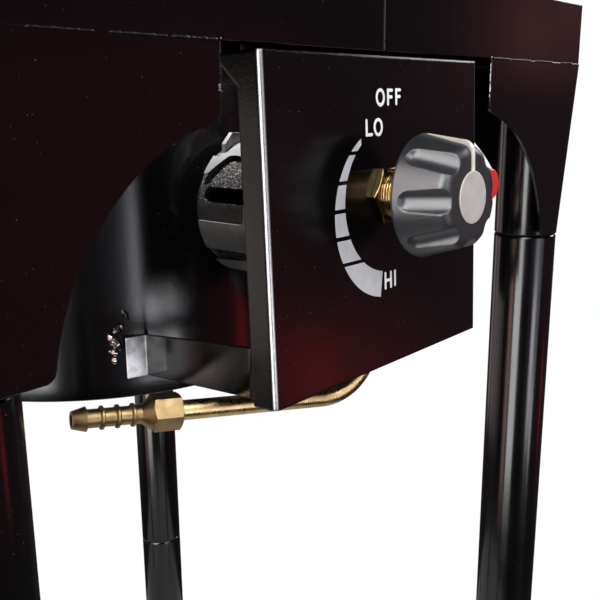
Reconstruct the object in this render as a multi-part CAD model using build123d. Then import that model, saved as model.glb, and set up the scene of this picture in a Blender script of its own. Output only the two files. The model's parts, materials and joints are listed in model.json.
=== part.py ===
from build123d import *
import os
from math import cos, radians, sin, sqrt

os.makedirs("parts", exist_ok=True)

# Driving dimensions in millimetres: X right, Y back, Z up, floor at Z = 0, burner axis at X = Y = 0.

# Square top frame: a folded band with a deck plate inside it
FRAME_SIDE = 500.0
FRAME_TOP = 800.0
BAND_HEIGHT = 40.0
BAND_SHEET = 2.0
BAND_CORNER = 6.0
SEAM_WIDTH = 1.4
SEAM_DEPTH = 0.7
DECK_SHEET = 3.0
DECK_OPENING_R = 136.0
HALF = FRAME_SIDE / 2
BAND_BOTTOM = FRAME_TOP - BAND_HEIGHT
DECK_BOTTOM = FRAME_TOP - DECK_SHEET

# Arched gusset plates under the band
GUSSET_INNER = 114.3
GUSSET_TOP_OUTER = 246.5
GUSSET_FOOT_OUTER = 226.0
GUSSET_BOTTOM = 639.4
ARCH_X = 95.5
ARCH_Z = 625.0
ARCH_R = 105.3
GUSSET_TIP_R = 5.0

# Legs: a welded stub, a leg tube and a lower leg tube, plugged into each other
LEG_R = 22.5
LEG_BORE_R = 19.9
SPIGOT_R = 19.5
SPIGOT_BORE_R = 17.0
SPIGOT_LENGTH = 60.0
SPIGOT_LEAD = 2.0
SHOULDER_ROUND = 1.8
STUB_BOTTOM = 638.0
LEG_BOTTOM = 221.4
LEG_AT = HALF - BAND_SHEET - LEG_R
FOOT_R = 25.5
FOOT_HEIGHT = 34.0
FOOT_BASE = 6.0
FOOT_ROUND = 3.0

# Drum round the burner, and the bar across it
DRUM_R = 140.0
DRUM_WALL = 2.0
DRUM_BOTTOM = 566.0
HEM_HEIGHT = 9.0
NECK_HOLE_R = 27.0
BAR_WIDTH = 30.0
BAR_SHEET = 4.0
BAR_Z = 641.0
BAR_TAB = 26.0
DRUM_BORE_R = DRUM_R - DRUM_WALL
BAR_TOP = BAR_Z + BAR_SHEET

# Control panel, leaning back at the top
PANEL_WIDTH = 185.0
PANEL_HEIGHT = 160.0
PANEL_SHEET = 1.5
PANEL_BEND_R = 2.2
PANEL_Y = -254.4
PANEL_Z = 677.4
PANEL_LEAN = 2.3
FLANGE_DEPTH = 14.0
EAR_DEPTH = 27.0
EAR_FOOT = 65.0
EAR_SHOULDER = 78.0
FACE = Pos(0, PANEL_Y, PANEL_Z) * Rot(90 - PANEL_LEAN, 0, 0)

# Hanger strips welded between the deck and the panel's ears
HANGER_SHEET = 3.0
HANGER_WIDTH = 12.0
HANGER_BOTTOM = 743.0
HANGER_Y = -233.0

# Straps from the panel's flanges to the drum
STRAP_SHEET = 2.5
STRAP_HEIGHT = 24.5
STRAP_PANEL_Z = 599.6
STRAP_DRUM_Z = 579.0
STRAP_BEND_R = 1.6
STRAP_START_Y = -250.5
STRAP_KNEE_Y = -240.0
STRAP_DRUM_ANGLE = 244.5
STRAP_TAB = 13.5
STRAP_FLARE = 7.5
STRAP_BITE = 0.8

# Gas valve on the panel: distances along its axis are heights above the panel's face
VALVE_UP = 11.0
NECK_R = 11.4
NECK_TOP = 24.0
NECK_CHAMFER = 1.2
NECK_HOLE_GAP = 0.3
JAM_NUT_AF = 27.5
JAM_NUT = 4.0
SHOULDER_AF = 30.0
SHOULDER = 5.0
BONNET_SPIGOT_R = 9.0
BONNET_SPIGOT = 4.0
BODY_R = 13.5
BODY_BACK = -38.0
INLET_DEPTH = -14.0
INLET_R = 7.4
INLET_LENGTH = 24.0
INLET_BORE_R = 3.0
OUTLET_R = 9.5
OUTLET_FRONT = -24.0
STEM_R = 3.0
PLUG_R = 6.0
PLUG_BACK = -27.0
PLUG_SEAT = -29.0
PLUG_PORT_R = 2.0
RUNNING_GAP = 0.05
STEM_TOP = 44.0
STEM_FLAT = 1.9
JET_DROP = 10.5
JET_AF = 14.0
JET_HEX_BACK = -46.0
JET_NOSE_R = 4.0
JET_TIP = -70.0
JET_PLUG = 6.0
JET_BORE_R = 2.0
JET_ORIFICE_R = 0.7
SHOULDER_BACK = -PANEL_SHEET - SHOULDER
PLUG_FRONT = SHOULDER_BACK - BONNET_SPIGOT

# Knob with scooped grooves and a raised pointer
KNOB_BACK = 22.6
KNOB_FACE = 49.0
KNOB_BASE_R = 30.8
KNOB_FRONT_R = 24.2
KNOB_SHOULDER = 6.0
KNOB_CAVITY_R = 19.0
KNOB_CAVITY_TOP = 38.0
KNOB_BOSS_R = 8.0
KNOB_BOSS_BACK = 25.5
GROOVES = 8
GROOVE_R = 7.0
GROOVE_START_R = 33.0
GROOVE_START_H = 32.0
GROOVE_LEAN = 20.0
POINTER_WIDTH = 2.6
POINTER_PROUD = 2.2
POINTER_ROOT = 1.4
POINTER_BACK = 24.4
CAP_R = 12.3
CAP_SHEET = 1.6
CAP_PROUD = 0.5

# Gas line from the valve's inlet to the hose barb
PIPE_R = 5.0
PIPE_BORE_R = 3.5
PIPE_BEND_R = 28.0
PIPE_NUT_AF = 17.0
PIPE_NUT = 13.0
UNION_AT = (-103.0, -202.2, 587.7)
PIPE_CORNER_Z = 577.4
UNION_AF = 16.6
UNION_LENGTH = 14.5
UNION_CONE = 5.0
BARB_LENGTH = 33.0
BARB_ROOT_R = 4.5
BARB_RING_R = 5.7
BARB_RING = 1.1
BARB_RINGS = 3
BARB_PITCH = 7.5
BARB_NOSE = 6.6
BARB_NOSE_R = 6.0
BARB_TIP_R = 4.2
BARB_BORE_R = 3.0

# Burner casting: bowl, throat and slotted air box along the Y axis
MIXER_Z = 675.5
BOWL_R = 62.0
BOWL_FLOOR_R = 40.0
BOWL_WALL = 5.0
BOWL_BOTTOM = 655.0
BOWL_KNEE = 692.0
BOWL_TOP = 735.0
THROAT_R = 20.0
THROAT_BORE_R = 15.0
BOX_R = 36.4
BOX_WALL = 4.2
BOX_FRONT_Y = -198.0
BOX_BACK_Y = -148.5
BOX_PLATE = 4.0
BOX_SLOT_ANGLES = (164.5, 221.5)
BOX_SLOT_WIDTH = 8.5
BOX_SLOT_LENGTH = 34.0
BOX_SLOT_ROUND = 3.0
BOX_SLOT_Y = -170.5
JET_HOLE_R = 7.5
BOSS_AT = 28.0
BOSS_R = 9.0
BURNER_BOLT_R = 4.0
BURNER_BOLT_AF = 13.0
BURNER_BOLT_HEAD = 5.3
CAP_POST_R = 9.0
CAP_POST_TOP = 690.0

# Air shutter: a fingered sleeve that turns on the air box; heights are counted from the mixer's axis
SLEEVE_WALL = 2.5
SLEEVE_GAP = 0.3
SLEEVE_R = BOX_R + SLEEVE_GAP + SLEEVE_WALL
SLEEVE_FRONT_Y = -199.0
SLEEVE_BACK_Y = -151.0
WINDOW_FRONT_Y = -187.0
WINDOW_SILL = -5.1
WINDOW_MOUTH = 20.8
WINDOW_TOP = 30.8
WINDOW_ROUND = 3.5
MOUTH_DEPTH = 3.0
RAMP_DEPTH = 12.5
SLIT_TOP = -21.6
SLIT_REAR = -29.6
SLIT_FRONT = -26.7
SLIT_FRONT_Y = -182.0
SLIT_ROUND = 1.5
THUMB_Y = -155.5
THUMB_SHEET = 3.0
THUMB_LEFT = -22.7
THUMB_RIGHT = -5.1
THUMB_TOP = 43.0
THUMB_CUT = 6.0
NOTCH_LEFT = -25.0
SHUTTER_OPEN = 25.0
SHUTTER_CLOSE = 25.0
SCREW_R = 2.0
SCREW_HEAD_R = 4.2
SCREW_HEAD = 2.6
SCREW_Y = -193.0
SCREW_ANGLE = 54.0
SCREW_GAP = 0.5

# Slotted burner cap
CAP_TOP = 752.0
CAP_RIM_R = 64.0
CAP_RIM_TOP = 741.0
CAP_FLAT_R = 44.0
CAP_SPIGOT_R = 56.6
CAP_SPIGOT = 5.0
CAP_WALL = 6.0
PORT_COUNT = 24
PORT_WIDTH = 3.0
PORT_LENGTH = 11.0
PORT_AT = 50.0
INNER_PORT_R = 2.2
INNER_PORT_AT = 28.0
INNER_PORTS = 12
CAP_BOLT_R = 4.0
CAP_BOLT_AF = 13.0
CAP_BOLT_HEAD = 5.3

# Push igniter on the panel and its electrode by the burner
IGNITER_RIGHT = 66.0
IGNITER_UP = 11.5
BEZEL_R = 13.0
BEZEL_TOP_R = 11.2
BEZEL_TOP = 17.0
BARREL_R = 10.9
BARREL_BACK = -34.0
PIEZO_R = 8.0
PIEZO_BACK = -52.0
TERMINAL_R = 1.5
TERMINAL_BACK = -60.0
IGNITER_NUT_AF = 27.0
IGNITER_NUT = 5.0
BUTTON_R = 8.7
BUTTON_TOP = 25.0
BUTTON_BACK = 2.0
BUTTON_ROUND = 1.5
BUTTON_TRAVEL = 6.0
BUTTON_GAP = 0.35
PLUNGER_R = 3.0
PLUNGER_BACK = -12.0
ELECTRODE_X = 78.0
CERAMIC_R = 4.0
CERAMIC_COLLAR_R = 6.0
CERAMIC_BOTTOM = 690.0
CERAMIC_TOP = 738.0
WIRE_R = 1.1
WIRE_TOP = 750.0
WIRE_REACH = 9.0
WIRE_BEND_R = 4.0
BRACKET_SHEET = 2.0
BRACKET_WIDTH = 16.0
BRACKET_TOP = 700.0

# Pot grate on the deck
GRATE_OUTER_R = 168.0
GRATE_INNER_R = 150.0
GRATE_RING = 8.0
GRATE_TOP = 822.0
FINGERS = 6
FINGER_INNER_R = 72.0
FINGER_THICK = 10.0
FINGER_TIP = 10.0
FINGER_ROUND = 4.0
PEGS = 4
PEG_R = 5.0
PEG_HOLE_R = 5.6
PEG_AT = 159.0
PEG_BOTTOM = 790.0

STANDING = (Align.CENTER, Align.CENTER, Align.MIN)
SIDES = ("front", "right", "rear", "left")
CORNERS = {"fl": (-1, -1), "fr": (1, -1), "rr": (1, 1), "rl": (-1, 1)}


def rod(radius, start, end):
    """Round bar along Z from one height to another."""
    return Pos(0, 0, start) * Cylinder(radius, end - start, align=STANDING)


def hex_bar(across_flats, start, end):
    """Hexagon bar along Z, a point of the hexagon on +X."""
    outline = RegularPolygon(across_flats / 2, 6, major_radius=False)
    return Pos(0, 0, start) * extrude(outline, end - start)


def spun(*points):
    """Solid turned about Z from (radius, height) points."""
    outline = make_face(Polyline(*points, close=True))
    return revolve(Plane.XZ * outline, Axis.Z)


def lying(shape):
    """Turns a solid built along Z to lie along Y, its +Z end towards the back, at the mixer's height."""
    return Pos(0, 0, MIXER_Z) * Rot(-90, 0, 0) * shape


# Top frame
def make_band():
    inside = FRAME_SIDE - 2 * BAND_SHEET
    outline = RectangleRounded(FRAME_SIDE, FRAME_SIDE, BAND_CORNER)
    outline -= RectangleRounded(inside, inside, BAND_CORNER - BAND_SHEET)
    ring = Pos(0, 0, BAND_BOTTOM) * extrude(outline, BAND_HEIGHT)
    seam = Box(SEAM_WIDTH, 2 * SEAM_DEPTH, BAND_HEIGHT, align=STANDING)
    return ring - Pos(0, -HALF, BAND_BOTTOM) * seam


def make_deck():
    inside = FRAME_SIDE - 2 * BAND_SHEET
    outline = RectangleRounded(inside, inside, BAND_CORNER - BAND_SHEET)
    outline -= Circle(DECK_OPENING_R)
    outline -= PolarLocations(PEG_AT, PEGS, 45) * Circle(PEG_HOLE_R)
    return Pos(0, 0, DECK_BOTTOM) * extrude(outline, DECK_SHEET)


def make_gusset():
    """Right-hand gusset of the front side."""
    corners = (
        (GUSSET_INNER, BAND_BOTTOM),
        (GUSSET_TOP_OUTER, BAND_BOTTOM),
        (GUSSET_FOOT_OUTER, GUSSET_BOTTOM),
        (GUSSET_INNER, GUSSET_BOTTOM),
    )
    plate = make_face(Polyline(*corners, close=True)) - Pos(ARCH_X, ARCH_Z) * Circle(ARCH_R)
    foot_tip = ARCH_X + sqrt(ARCH_R**2 - (GUSSET_BOTTOM - ARCH_Z) ** 2)
    head_tip = ARCH_Z + sqrt(ARCH_R**2 - (GUSSET_INNER - ARCH_X) ** 2)
    tips = [
        plate.vertices().sort_by_distance((foot_tip, GUSSET_BOTTOM))[0],
        plate.vertices().sort_by_distance((GUSSET_INNER, head_tip))[0],
    ]
    plate = fillet(tips, GUSSET_TIP_R)
    return extrude(Plane.XZ.offset(HALF - BAND_SHEET) * plate, BAND_SHEET)


# Legs
def make_stub():
    tube = rod(LEG_R, STUB_BOTTOM, DECK_BOTTOM) - rod(LEG_BORE_R, STUB_BOTTOM, DECK_BOTTOM)
    rim = tube.edges().filter_by(GeomType.CIRCLE).group_by(Axis.Z)[0].sort_by(SortBy.RADIUS)[-1]
    return fillet(rim, SHOULDER_ROUND / 2)


def make_leg(bottom, top):
    """Leg tube with a necked spigot on top that plugs into the tube above."""
    slope = LEG_BORE_R - SPIGOT_BORE_R
    spigot_top = top + SPIGOT_LENGTH
    leg = spun(
        (LEG_BORE_R, bottom),
        (LEG_R, bottom),
        (LEG_R, top),
        (SPIGOT_R, top),
        (SPIGOT_R, spigot_top - SPIGOT_LEAD),
        (SPIGOT_R - SPIGOT_LEAD / 2, spigot_top),
        (SPIGOT_BORE_R, spigot_top),
        (SPIGOT_BORE_R, top - slope),
        (LEG_BORE_R, top - 2 * slope),
    )
    rings = leg.edges().filter_by(GeomType.CIRCLE)
    outer_rings = [ring for ring in rings if abs(ring.radius - LEG_R) < 0.01]
    shoulder = ShapeList(outer_rings).sort_by(Axis.Z)[-1]
    return fillet(shoulder, SHOULDER_ROUND)


def make_foot():
    cup = rod(FOOT_R, 0, FOOT_HEIGHT) - rod(LEG_R, FOOT_BASE, FOOT_HEIGHT)
    lower = cup.edges().filter_by(GeomType.CIRCLE).group_by(Axis.Z)[0]
    return fillet(lower, FOOT_ROUND)


# Drum and burner bar
def make_drum():
    shell = spun(
        (DRUM_R, DRUM_BOTTOM),
        (DRUM_R, DECK_BOTTOM),
        (DRUM_BORE_R, DECK_BOTTOM),
        (DRUM_BORE_R, DRUM_BOTTOM + HEM_HEIGHT),
        (DRUM_BORE_R - DRUM_WALL, DRUM_BOTTOM + HEM_HEIGHT - DRUM_WALL),
        (DRUM_BORE_R - DRUM_WALL, DRUM_BOTTOM),
    )
    return shell - lying(rod(NECK_HOLE_R, -DRUM_R - DRUM_WALL, -DRUM_R / 2))


def make_bar():
    """Flat bar with both ends bent up and curved to the drum's wall."""
    reach = 2 * DRUM_R
    inside = 2 * (DRUM_BORE_R - BAR_SHEET)
    bar = Pos(0, 0, BAR_Z) * Box(reach, BAR_WIDTH, BAR_TAB, align=STANDING)
    bar -= Pos(0, 0, BAR_TOP) * Box(inside, BAR_WIDTH, BAR_TAB, align=STANDING)
    bar &= rod(DRUM_BORE_R, BAR_Z, BAR_Z + BAR_TAB)
    for side in (-1, 1):
        bar -= Pos(side * BOSS_AT, 0, 0) * rod(BURNER_BOLT_R, BAR_Z, BAR_TOP)
    return bar


# Control panel and what holds it
def make_panel():
    """Folded sheet in the panel's own frame: x right, y up, z out of the face."""
    folded = Pos(0, -EAR_DEPTH / 2) * Rectangle(PANEL_WIDTH, EAR_DEPTH)
    folded = fillet(folded.vertices().group_by(Axis.Y)[-1], PANEL_BEND_R)
    hollow_width = PANEL_WIDTH - 2 * PANEL_SHEET
    hollow = Pos(0, -EAR_DEPTH / 2 - PANEL_SHEET) * Rectangle(hollow_width, EAR_DEPTH)
    hollow = fillet(hollow.vertices().group_by(Axis.Y)[-1], PANEL_BEND_R - PANEL_SHEET)
    sheet = extrude(Plane.XZ * (folded - hollow), PANEL_HEIGHT / 2, both=True)
    top = PANEL_HEIGHT / 2
    side_view = Polyline(
        (-top, 0),
        (-top, -FLANGE_DEPTH),
        (EAR_FOOT, -FLANGE_DEPTH),
        (EAR_SHOULDER, -EAR_DEPTH),
        (top, -EAR_DEPTH),
        (top, 0),
        close=True,
    )
    sheet &= extrude(Plane.YZ * make_face(side_view), PANEL_WIDTH / 2, both=True)
    sheet -= Pos(0, VALVE_UP, 0) * rod(NECK_R + NECK_HOLE_GAP, -PANEL_SHEET, 0)
    sheet -= Pos(IGNITER_RIGHT, IGNITER_UP, 0) * rod(BARREL_R + NECK_HOLE_GAP, -PANEL_SHEET, 0)
    return FACE * sheet


def make_hanger(side):
    outer_face = PANEL_WIDTH / 2 - PANEL_SHEET
    strip = Box(HANGER_SHEET, HANGER_WIDTH, DECK_BOTTOM - HANGER_BOTTOM, align=STANDING)
    return Pos(side * (outer_face - HANGER_SHEET / 2), HANGER_Y, HANGER_BOTTOM) * strip


def make_strap():
    """Left strap: flat on the flange's inner face, across to the drum, tab bent back beside the drum."""
    flange_x = -(PANEL_WIDTH / 2 - PANEL_SHEET - STRAP_SHEET / 2)
    around = radians(STRAP_DRUM_ANGLE)
    off = DRUM_R + STRAP_SHEET / 2 - STRAP_BITE
    touch_x = off * cos(around)
    touch_y = off * sin(around)
    tab_turn = radians(STRAP_DRUM_ANGLE - 90 + STRAP_FLARE)
    tab_end = (touch_x + STRAP_TAB * cos(tab_turn), touch_y + STRAP_TAB * sin(tab_turn))
    path = FilletPolyline(
        (flange_x, STRAP_START_Y),
        (flange_x, STRAP_KNEE_Y),
        (touch_x, touch_y),
        tab_end,
        radius=STRAP_BEND_R,
    )
    plan = extrude(trace(path, STRAP_SHEET), FRAME_TOP)
    panel_top = STRAP_PANEL_Z + STRAP_HEIGHT
    drum_top = STRAP_DRUM_Z + STRAP_HEIGHT
    end_y = -DRUM_R / 2
    side_view = Polyline(
        (-HALF - STRAP_SHEET * 2, STRAP_PANEL_Z),
        (STRAP_KNEE_Y, STRAP_PANEL_Z),
        (touch_y, STRAP_DRUM_Z),
        (end_y, STRAP_DRUM_Z),
        (end_y, drum_top),
        (touch_y, drum_top),
        (STRAP_KNEE_Y, panel_top),
        (-HALF - STRAP_SHEET * 2, panel_top),
        close=True,
    )
    strap = plan & extrude(Plane.YZ * make_face(side_view), HALF, both=True)
    return strap - rod(DRUM_R, DRUM_BOTTOM, DECK_BOTTOM)


# Gas valve, built about its own axis with z out of the panel's face
def make_bonnet():
    """Threaded neck and hexagon that close the body over the gas plug."""
    bonnet = rod(NECK_R, SHOULDER_BACK, NECK_TOP)
    bonnet += hex_bar(SHOULDER_AF, SHOULDER_BACK, -PANEL_SHEET)
    bonnet += rod(BONNET_SPIGOT_R, PLUG_FRONT, SHOULDER_BACK)
    bonnet -= rod(STEM_R + RUNNING_GAP, PLUG_FRONT, NECK_TOP)
    tip = bonnet.edges().filter_by(GeomType.CIRCLE).group_by(Axis.Z)[-1].sort_by(SortBy.RADIUS)[-1]
    return chamfer(tip, NECK_CHAMFER)


def make_valve_body():
    """Body with the plug's seat, an inlet below and an outlet that drops to the mixer's axis."""
    body = rod(BODY_R, BODY_BACK, SHOULDER_BACK)
    body += Pos(0, -JET_DROP, 0) * rod(OUTLET_R, BODY_BACK, OUTLET_FRONT)
    body += Pos(0, 0, INLET_DEPTH) * Rot(90, 0, 0) * rod(INLET_R, 0, INLET_LENGTH)
    body -= rod(BONNET_SPIGOT_R, PLUG_FRONT, SHOULDER_BACK)
    body -= rod(PLUG_R + RUNNING_GAP, PLUG_SEAT, PLUG_FRONT)
    body -= Pos(0, -JET_DROP, 0) * rod(PLUG_R + RUNNING_GAP, BODY_BACK, PLUG_BACK)
    return body - Pos(0, 0, INLET_DEPTH) * Rot(90, 0, 0) * rod(INLET_BORE_R, 0, INLET_LENGTH)


def make_jam_nut():
    nut = hex_bar(JAM_NUT_AF, 0, JAM_NUT) & spun_chamfer(JAM_NUT_AF, JAM_NUT)
    return nut - rod(NECK_R, 0, JAM_NUT)


def spun_chamfer(across_flats, height):
    """Turned blank that takes the corners off the upper face of a nut."""
    corner_r = across_flats / sqrt(3)
    flat_r = across_flats / 2
    drop = (corner_r - flat_r) / sqrt(3)
    return spun((0, 0), (corner_r, 0), (corner_r, height - drop), (flat_r, height), (0, height))


def make_jet():
    jet = rod(PLUG_R + RUNNING_GAP, BODY_BACK, BODY_BACK + JET_PLUG)
    jet += hex_bar(JET_AF, JET_HEX_BACK, BODY_BACK)
    jet += rod(JET_NOSE_R, JET_TIP, JET_HEX_BACK)
    jet -= rod(JET_BORE_R, JET_TIP + JET_BORE_R, BODY_BACK + JET_PLUG)
    return jet - rod(JET_ORIFICE_R, JET_TIP, JET_TIP + JET_BORE_R)


def make_stem():
    """Stem with its gas plug, the plug's port turned away from the inlet; a flat keys the knob."""
    stem = rod(STEM_R, PLUG_BACK, STEM_TOP) - stem_flat()
    stem += rod(PLUG_R, PLUG_BACK, PLUG_FRONT - RUNNING_GAP)
    stem -= Pos(0, 0, INLET_DEPTH) * Rot(-90, 0, 0) * rod(PLUG_PORT_R, 0, PLUG_R)
    return stem - rod(PLUG_PORT_R, PLUG_BACK, INLET_DEPTH)


def stem_flat():
    """What the flat takes away from the round stem."""
    length = STEM_TOP - KNOB_BOSS_BACK
    block = Box(2 * STEM_R, STEM_R, length, align=(Align.CENTER, Align.MIN, Align.MIN))
    return Pos(0, STEM_FLAT, KNOB_BOSS_BACK) * block


# Knob
def knob_blank(growth, rise):
    """Tapered round knob with a rounded shoulder; growth and rise make the pointer's skins."""
    face = KNOB_FACE + rise
    front_r = KNOB_FRONT_R + growth
    profile = Polyline((0, KNOB_BACK), (KNOB_BASE_R, KNOB_BACK), (front_r, face), (0, face), close=True)
    outline = make_face(profile)
    shoulder = outline.vertices().sort_by_distance((front_r, face))[0]
    outline = fillet(shoulder, KNOB_SHOULDER)
    return revolve(Plane.XZ * outline, Axis.Z)


def make_pointer():
    strip = knob_blank(POINTER_PROUD, CAP_PROUD) - knob_blank(-POINTER_ROOT, -POINTER_ROOT)
    length = KNOB_BASE_R - CAP_R
    keep = Box(POINTER_WIDTH, length, KNOB_FACE, align=(Align.CENTER, Align.MIN, Align.MIN))
    return strip & Pos(0, CAP_R, POINTER_BACK) * keep


def make_knob(pointer):
    knob = knob_blank(0, 0)
    scoop = rod(GROOVE_R, 0, KNOB_FACE) + Sphere(GROOVE_R)
    scoop = Pos(GROOVE_START_R, 0, GROOVE_START_H) * Rot(0, -GROOVE_LEAN, 0) * scoop
    for count in range(1, GROOVES):
        knob -= Rot(0, 0, 90 + count * 360 / GROOVES) * scoop
    knob -= rod(KNOB_CAVITY_R, KNOB_BACK, KNOB_CAVITY_TOP) - rod(KNOB_BOSS_R, KNOB_BOSS_BACK, KNOB_FACE)
    knob -= rod(STEM_R, KNOB_BOSS_BACK, STEM_TOP) - stem_flat()
    knob -= make_knob_cap()
    return knob - pointer


def make_knob_cap():
    return rod(CAP_R, KNOB_FACE + CAP_PROUD - CAP_SHEET, KNOB_FACE + CAP_PROUD)


# Gas line
def inlet_end():
    """Lower end of the valve's inlet, in the stove's frame."""
    return (FACE * Pos(0, VALVE_UP - INLET_LENGTH, INLET_DEPTH)).position


def pipe_path():
    start = inlet_end()
    drop = start.Z - PIPE_CORNER_Z
    corner = start + Vector(0, -drop * sin(radians(PANEL_LEAN)), -drop)
    return FilletPolyline(start, corner, Vector(*UNION_AT), radius=PIPE_BEND_R)


def make_pipe():
    path = pipe_path()
    ring = (path ^ 0) * (Circle(PIPE_R) - Circle(PIPE_BORE_R))
    return sweep(ring, path=path)


def make_pipe_nut():
    """Nut under the valve's inlet, round the pipe."""
    nut = hex_bar(PIPE_NUT_AF, 0, PIPE_NUT) & spun_chamfer(PIPE_NUT_AF, PIPE_NUT)
    nut -= rod(PIPE_R, 0, PIPE_NUT)
    return (pipe_path() ^ 0) * nut


def make_union():
    """Hexagon with the corners taken off at both ends."""
    blank = spun_chamfer(UNION_AF, UNION_LENGTH)
    turned_over = Pos(0, 0, UNION_LENGTH) * Rot(180, 0, 0) * blank
    nut = hex_bar(UNION_AF, 0, UNION_LENGTH) & blank & turned_over
    return (pipe_path() ^ 1) * (nut - rod(BARB_BORE_R, 0, UNION_LENGTH))


def make_barb():
    """Hose nozzle: a cone against the union, rings that grip the hose and a flared nose."""
    tip = UNION_CONE + BARB_LENGTH
    nose_back = tip - BARB_NOSE
    rings = []
    for count in range(BARB_RINGS, 0, -1):
        middle = nose_back - count * BARB_PITCH
        rings += [(BARB_ROOT_R, middle - BARB_RING), (BARB_RING_R, middle - BARB_RING / 2)]
        rings += [(BARB_RING_R, middle + BARB_RING / 2), (BARB_ROOT_R, middle + BARB_RING)]
    nozzle = spun(
        (BARB_BORE_R, 0),
        (UNION_AF / 2, 0),
        (BARB_ROOT_R, UNION_CONE),
        *rings,
        (BARB_ROOT_R, nose_back),
        (BARB_NOSE_R, nose_back),
        (BARB_TIP_R, tip),
        (BARB_BORE_R, tip),
    )
    return (pipe_path() ^ 1) * Pos(0, 0, UNION_LENGTH) * nozzle


# Burner
def around_mixer(angle):
    """Place on the mixer's axis with Z pointing out of it, the angle counted from the right over the top."""
    return Pos(0, 0, MIXER_Z) * Rot(0, 90 - angle, 0)


def box_slots():
    """Air slots along the air box, two through each side of its wall."""
    outline = RectangleRounded(BOX_SLOT_WIDTH, BOX_SLOT_LENGTH, BOX_SLOT_ROUND)
    cutter = Pos(0, BOX_SLOT_Y, THROAT_R) * extrude(outline, BOX_R)
    left = [around_mixer(angle) * cutter for angle in BOX_SLOT_ANGLES]
    return left + [mirror(slot, Plane.YZ) for slot in left]


def make_casting():
    """Bowl, throat and air box in one casting, hollow all the way through."""
    bowl = spun(
        (0, BOWL_BOTTOM),
        (BOWL_FLOOR_R, BOWL_BOTTOM),
        (BOWL_R, BOWL_KNEE),
        (BOWL_R, BOWL_TOP),
        (0, BOWL_TOP),
    )
    for side in (-1, 1):
        bowl += Pos(side * BOSS_AT, 0, 0) * rod(BOSS_R, BAR_TOP, MIXER_Z)
    bowl += lying(rod(THROAT_R, BOX_BACK_Y, 0))
    bowl += lying(rod(BOX_R, BOX_FRONT_Y, BOX_BACK_Y))
    bowl -= spun(
        (0, BOWL_BOTTOM + BOWL_WALL),
        (BOWL_FLOOR_R - BOWL_WALL, BOWL_BOTTOM + BOWL_WALL),
        (BOWL_R - BOWL_WALL, BOWL_KNEE + BOWL_WALL / 2),
        (BOWL_R - BOWL_WALL, BOWL_TOP),
        (0, BOWL_TOP),
    )
    bowl -= lying(rod(THROAT_BORE_R, BOX_FRONT_Y + BOX_PLATE, 0))
    bowl -= lying(rod(BOX_R - BOX_WALL, BOX_FRONT_Y + BOX_PLATE, BOX_BACK_Y - BOX_PLATE))
    bowl -= lying(rod(JET_HOLE_R, BOX_FRONT_Y, BOX_FRONT_Y + BOX_PLATE))
    bowl -= box_slots()
    for side in (-1, 1):
        bowl += Pos(side * BOSS_AT, 0, 0) * rod(BOSS_R, BAR_TOP, BOWL_BOTTOM + BOWL_WALL)
        bowl -= Pos(side * BOSS_AT, 0, 0) * rod(BURNER_BOLT_R, BAR_TOP, BOWL_BOTTOM)
    bowl += rod(CAP_POST_R, BOWL_BOTTOM + BOWL_WALL, CAP_POST_TOP - THROAT_BORE_R)
    bowl -= rod(CAP_BOLT_R, BOWL_BOTTOM + BOWL_WALL, CAP_POST_TOP)
    return bowl - shutter_screw_bore()


def shutter_screw_place():
    """Screw on the right of the air box, its axis pointing out of the box."""
    return Pos(0, SCREW_Y, 0) * around_mixer(SCREW_ANGLE)


def shutter_screw_bore():
    return shutter_screw_place() * rod(SCREW_R, BOX_R - BOX_WALL, BOX_R + BOX_WALL)


def make_shutter_screw():
    head_under = SLEEVE_R + SCREW_GAP
    screw = rod(SCREW_R, BOX_R - BOX_WALL, head_under)
    screw += rod(SCREW_HEAD_R, head_under, head_under + SCREW_HEAD)
    return shutter_screw_place() * screw


def make_shutter():
    """Sleeve cut into four fingers, a thumb tab bent up from the top one, with a slot that stops the turn."""
    bore = lying(rod(SLEEVE_R - SLEEVE_WALL, SLEEVE_FRONT_Y, SLEEVE_BACK_Y))
    sleeve = lying(rod(SLEEVE_R, SLEEVE_FRONT_Y, SLEEVE_BACK_Y)) - bore - shutter_windows()
    notch_depth = SLEEVE_BACK_Y - THUMB_Y
    notch = Box(-NOTCH_LEFT, notch_depth, SLEEVE_R, align=Align.MIN)
    sleeve -= Pos(NOTCH_LEFT, THUMB_Y, MIXER_Z + WINDOW_MOUTH) * notch
    tab_outline = Polyline(
        (THUMB_LEFT, WINDOW_MOUTH),
        (THUMB_LEFT, THUMB_TOP - THUMB_CUT),
        (THUMB_LEFT + THUMB_CUT, THUMB_TOP),
        (THUMB_RIGHT, THUMB_TOP),
        (THUMB_RIGHT, WINDOW_MOUTH),
        close=True,
    )
    tab = Pos(0, 0, MIXER_Z) * extrude(Plane.XZ.offset(-THUMB_Y) * make_face(tab_outline), THUMB_SHEET)
    return sleeve + (tab - bore) - shutter_slot()


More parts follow.
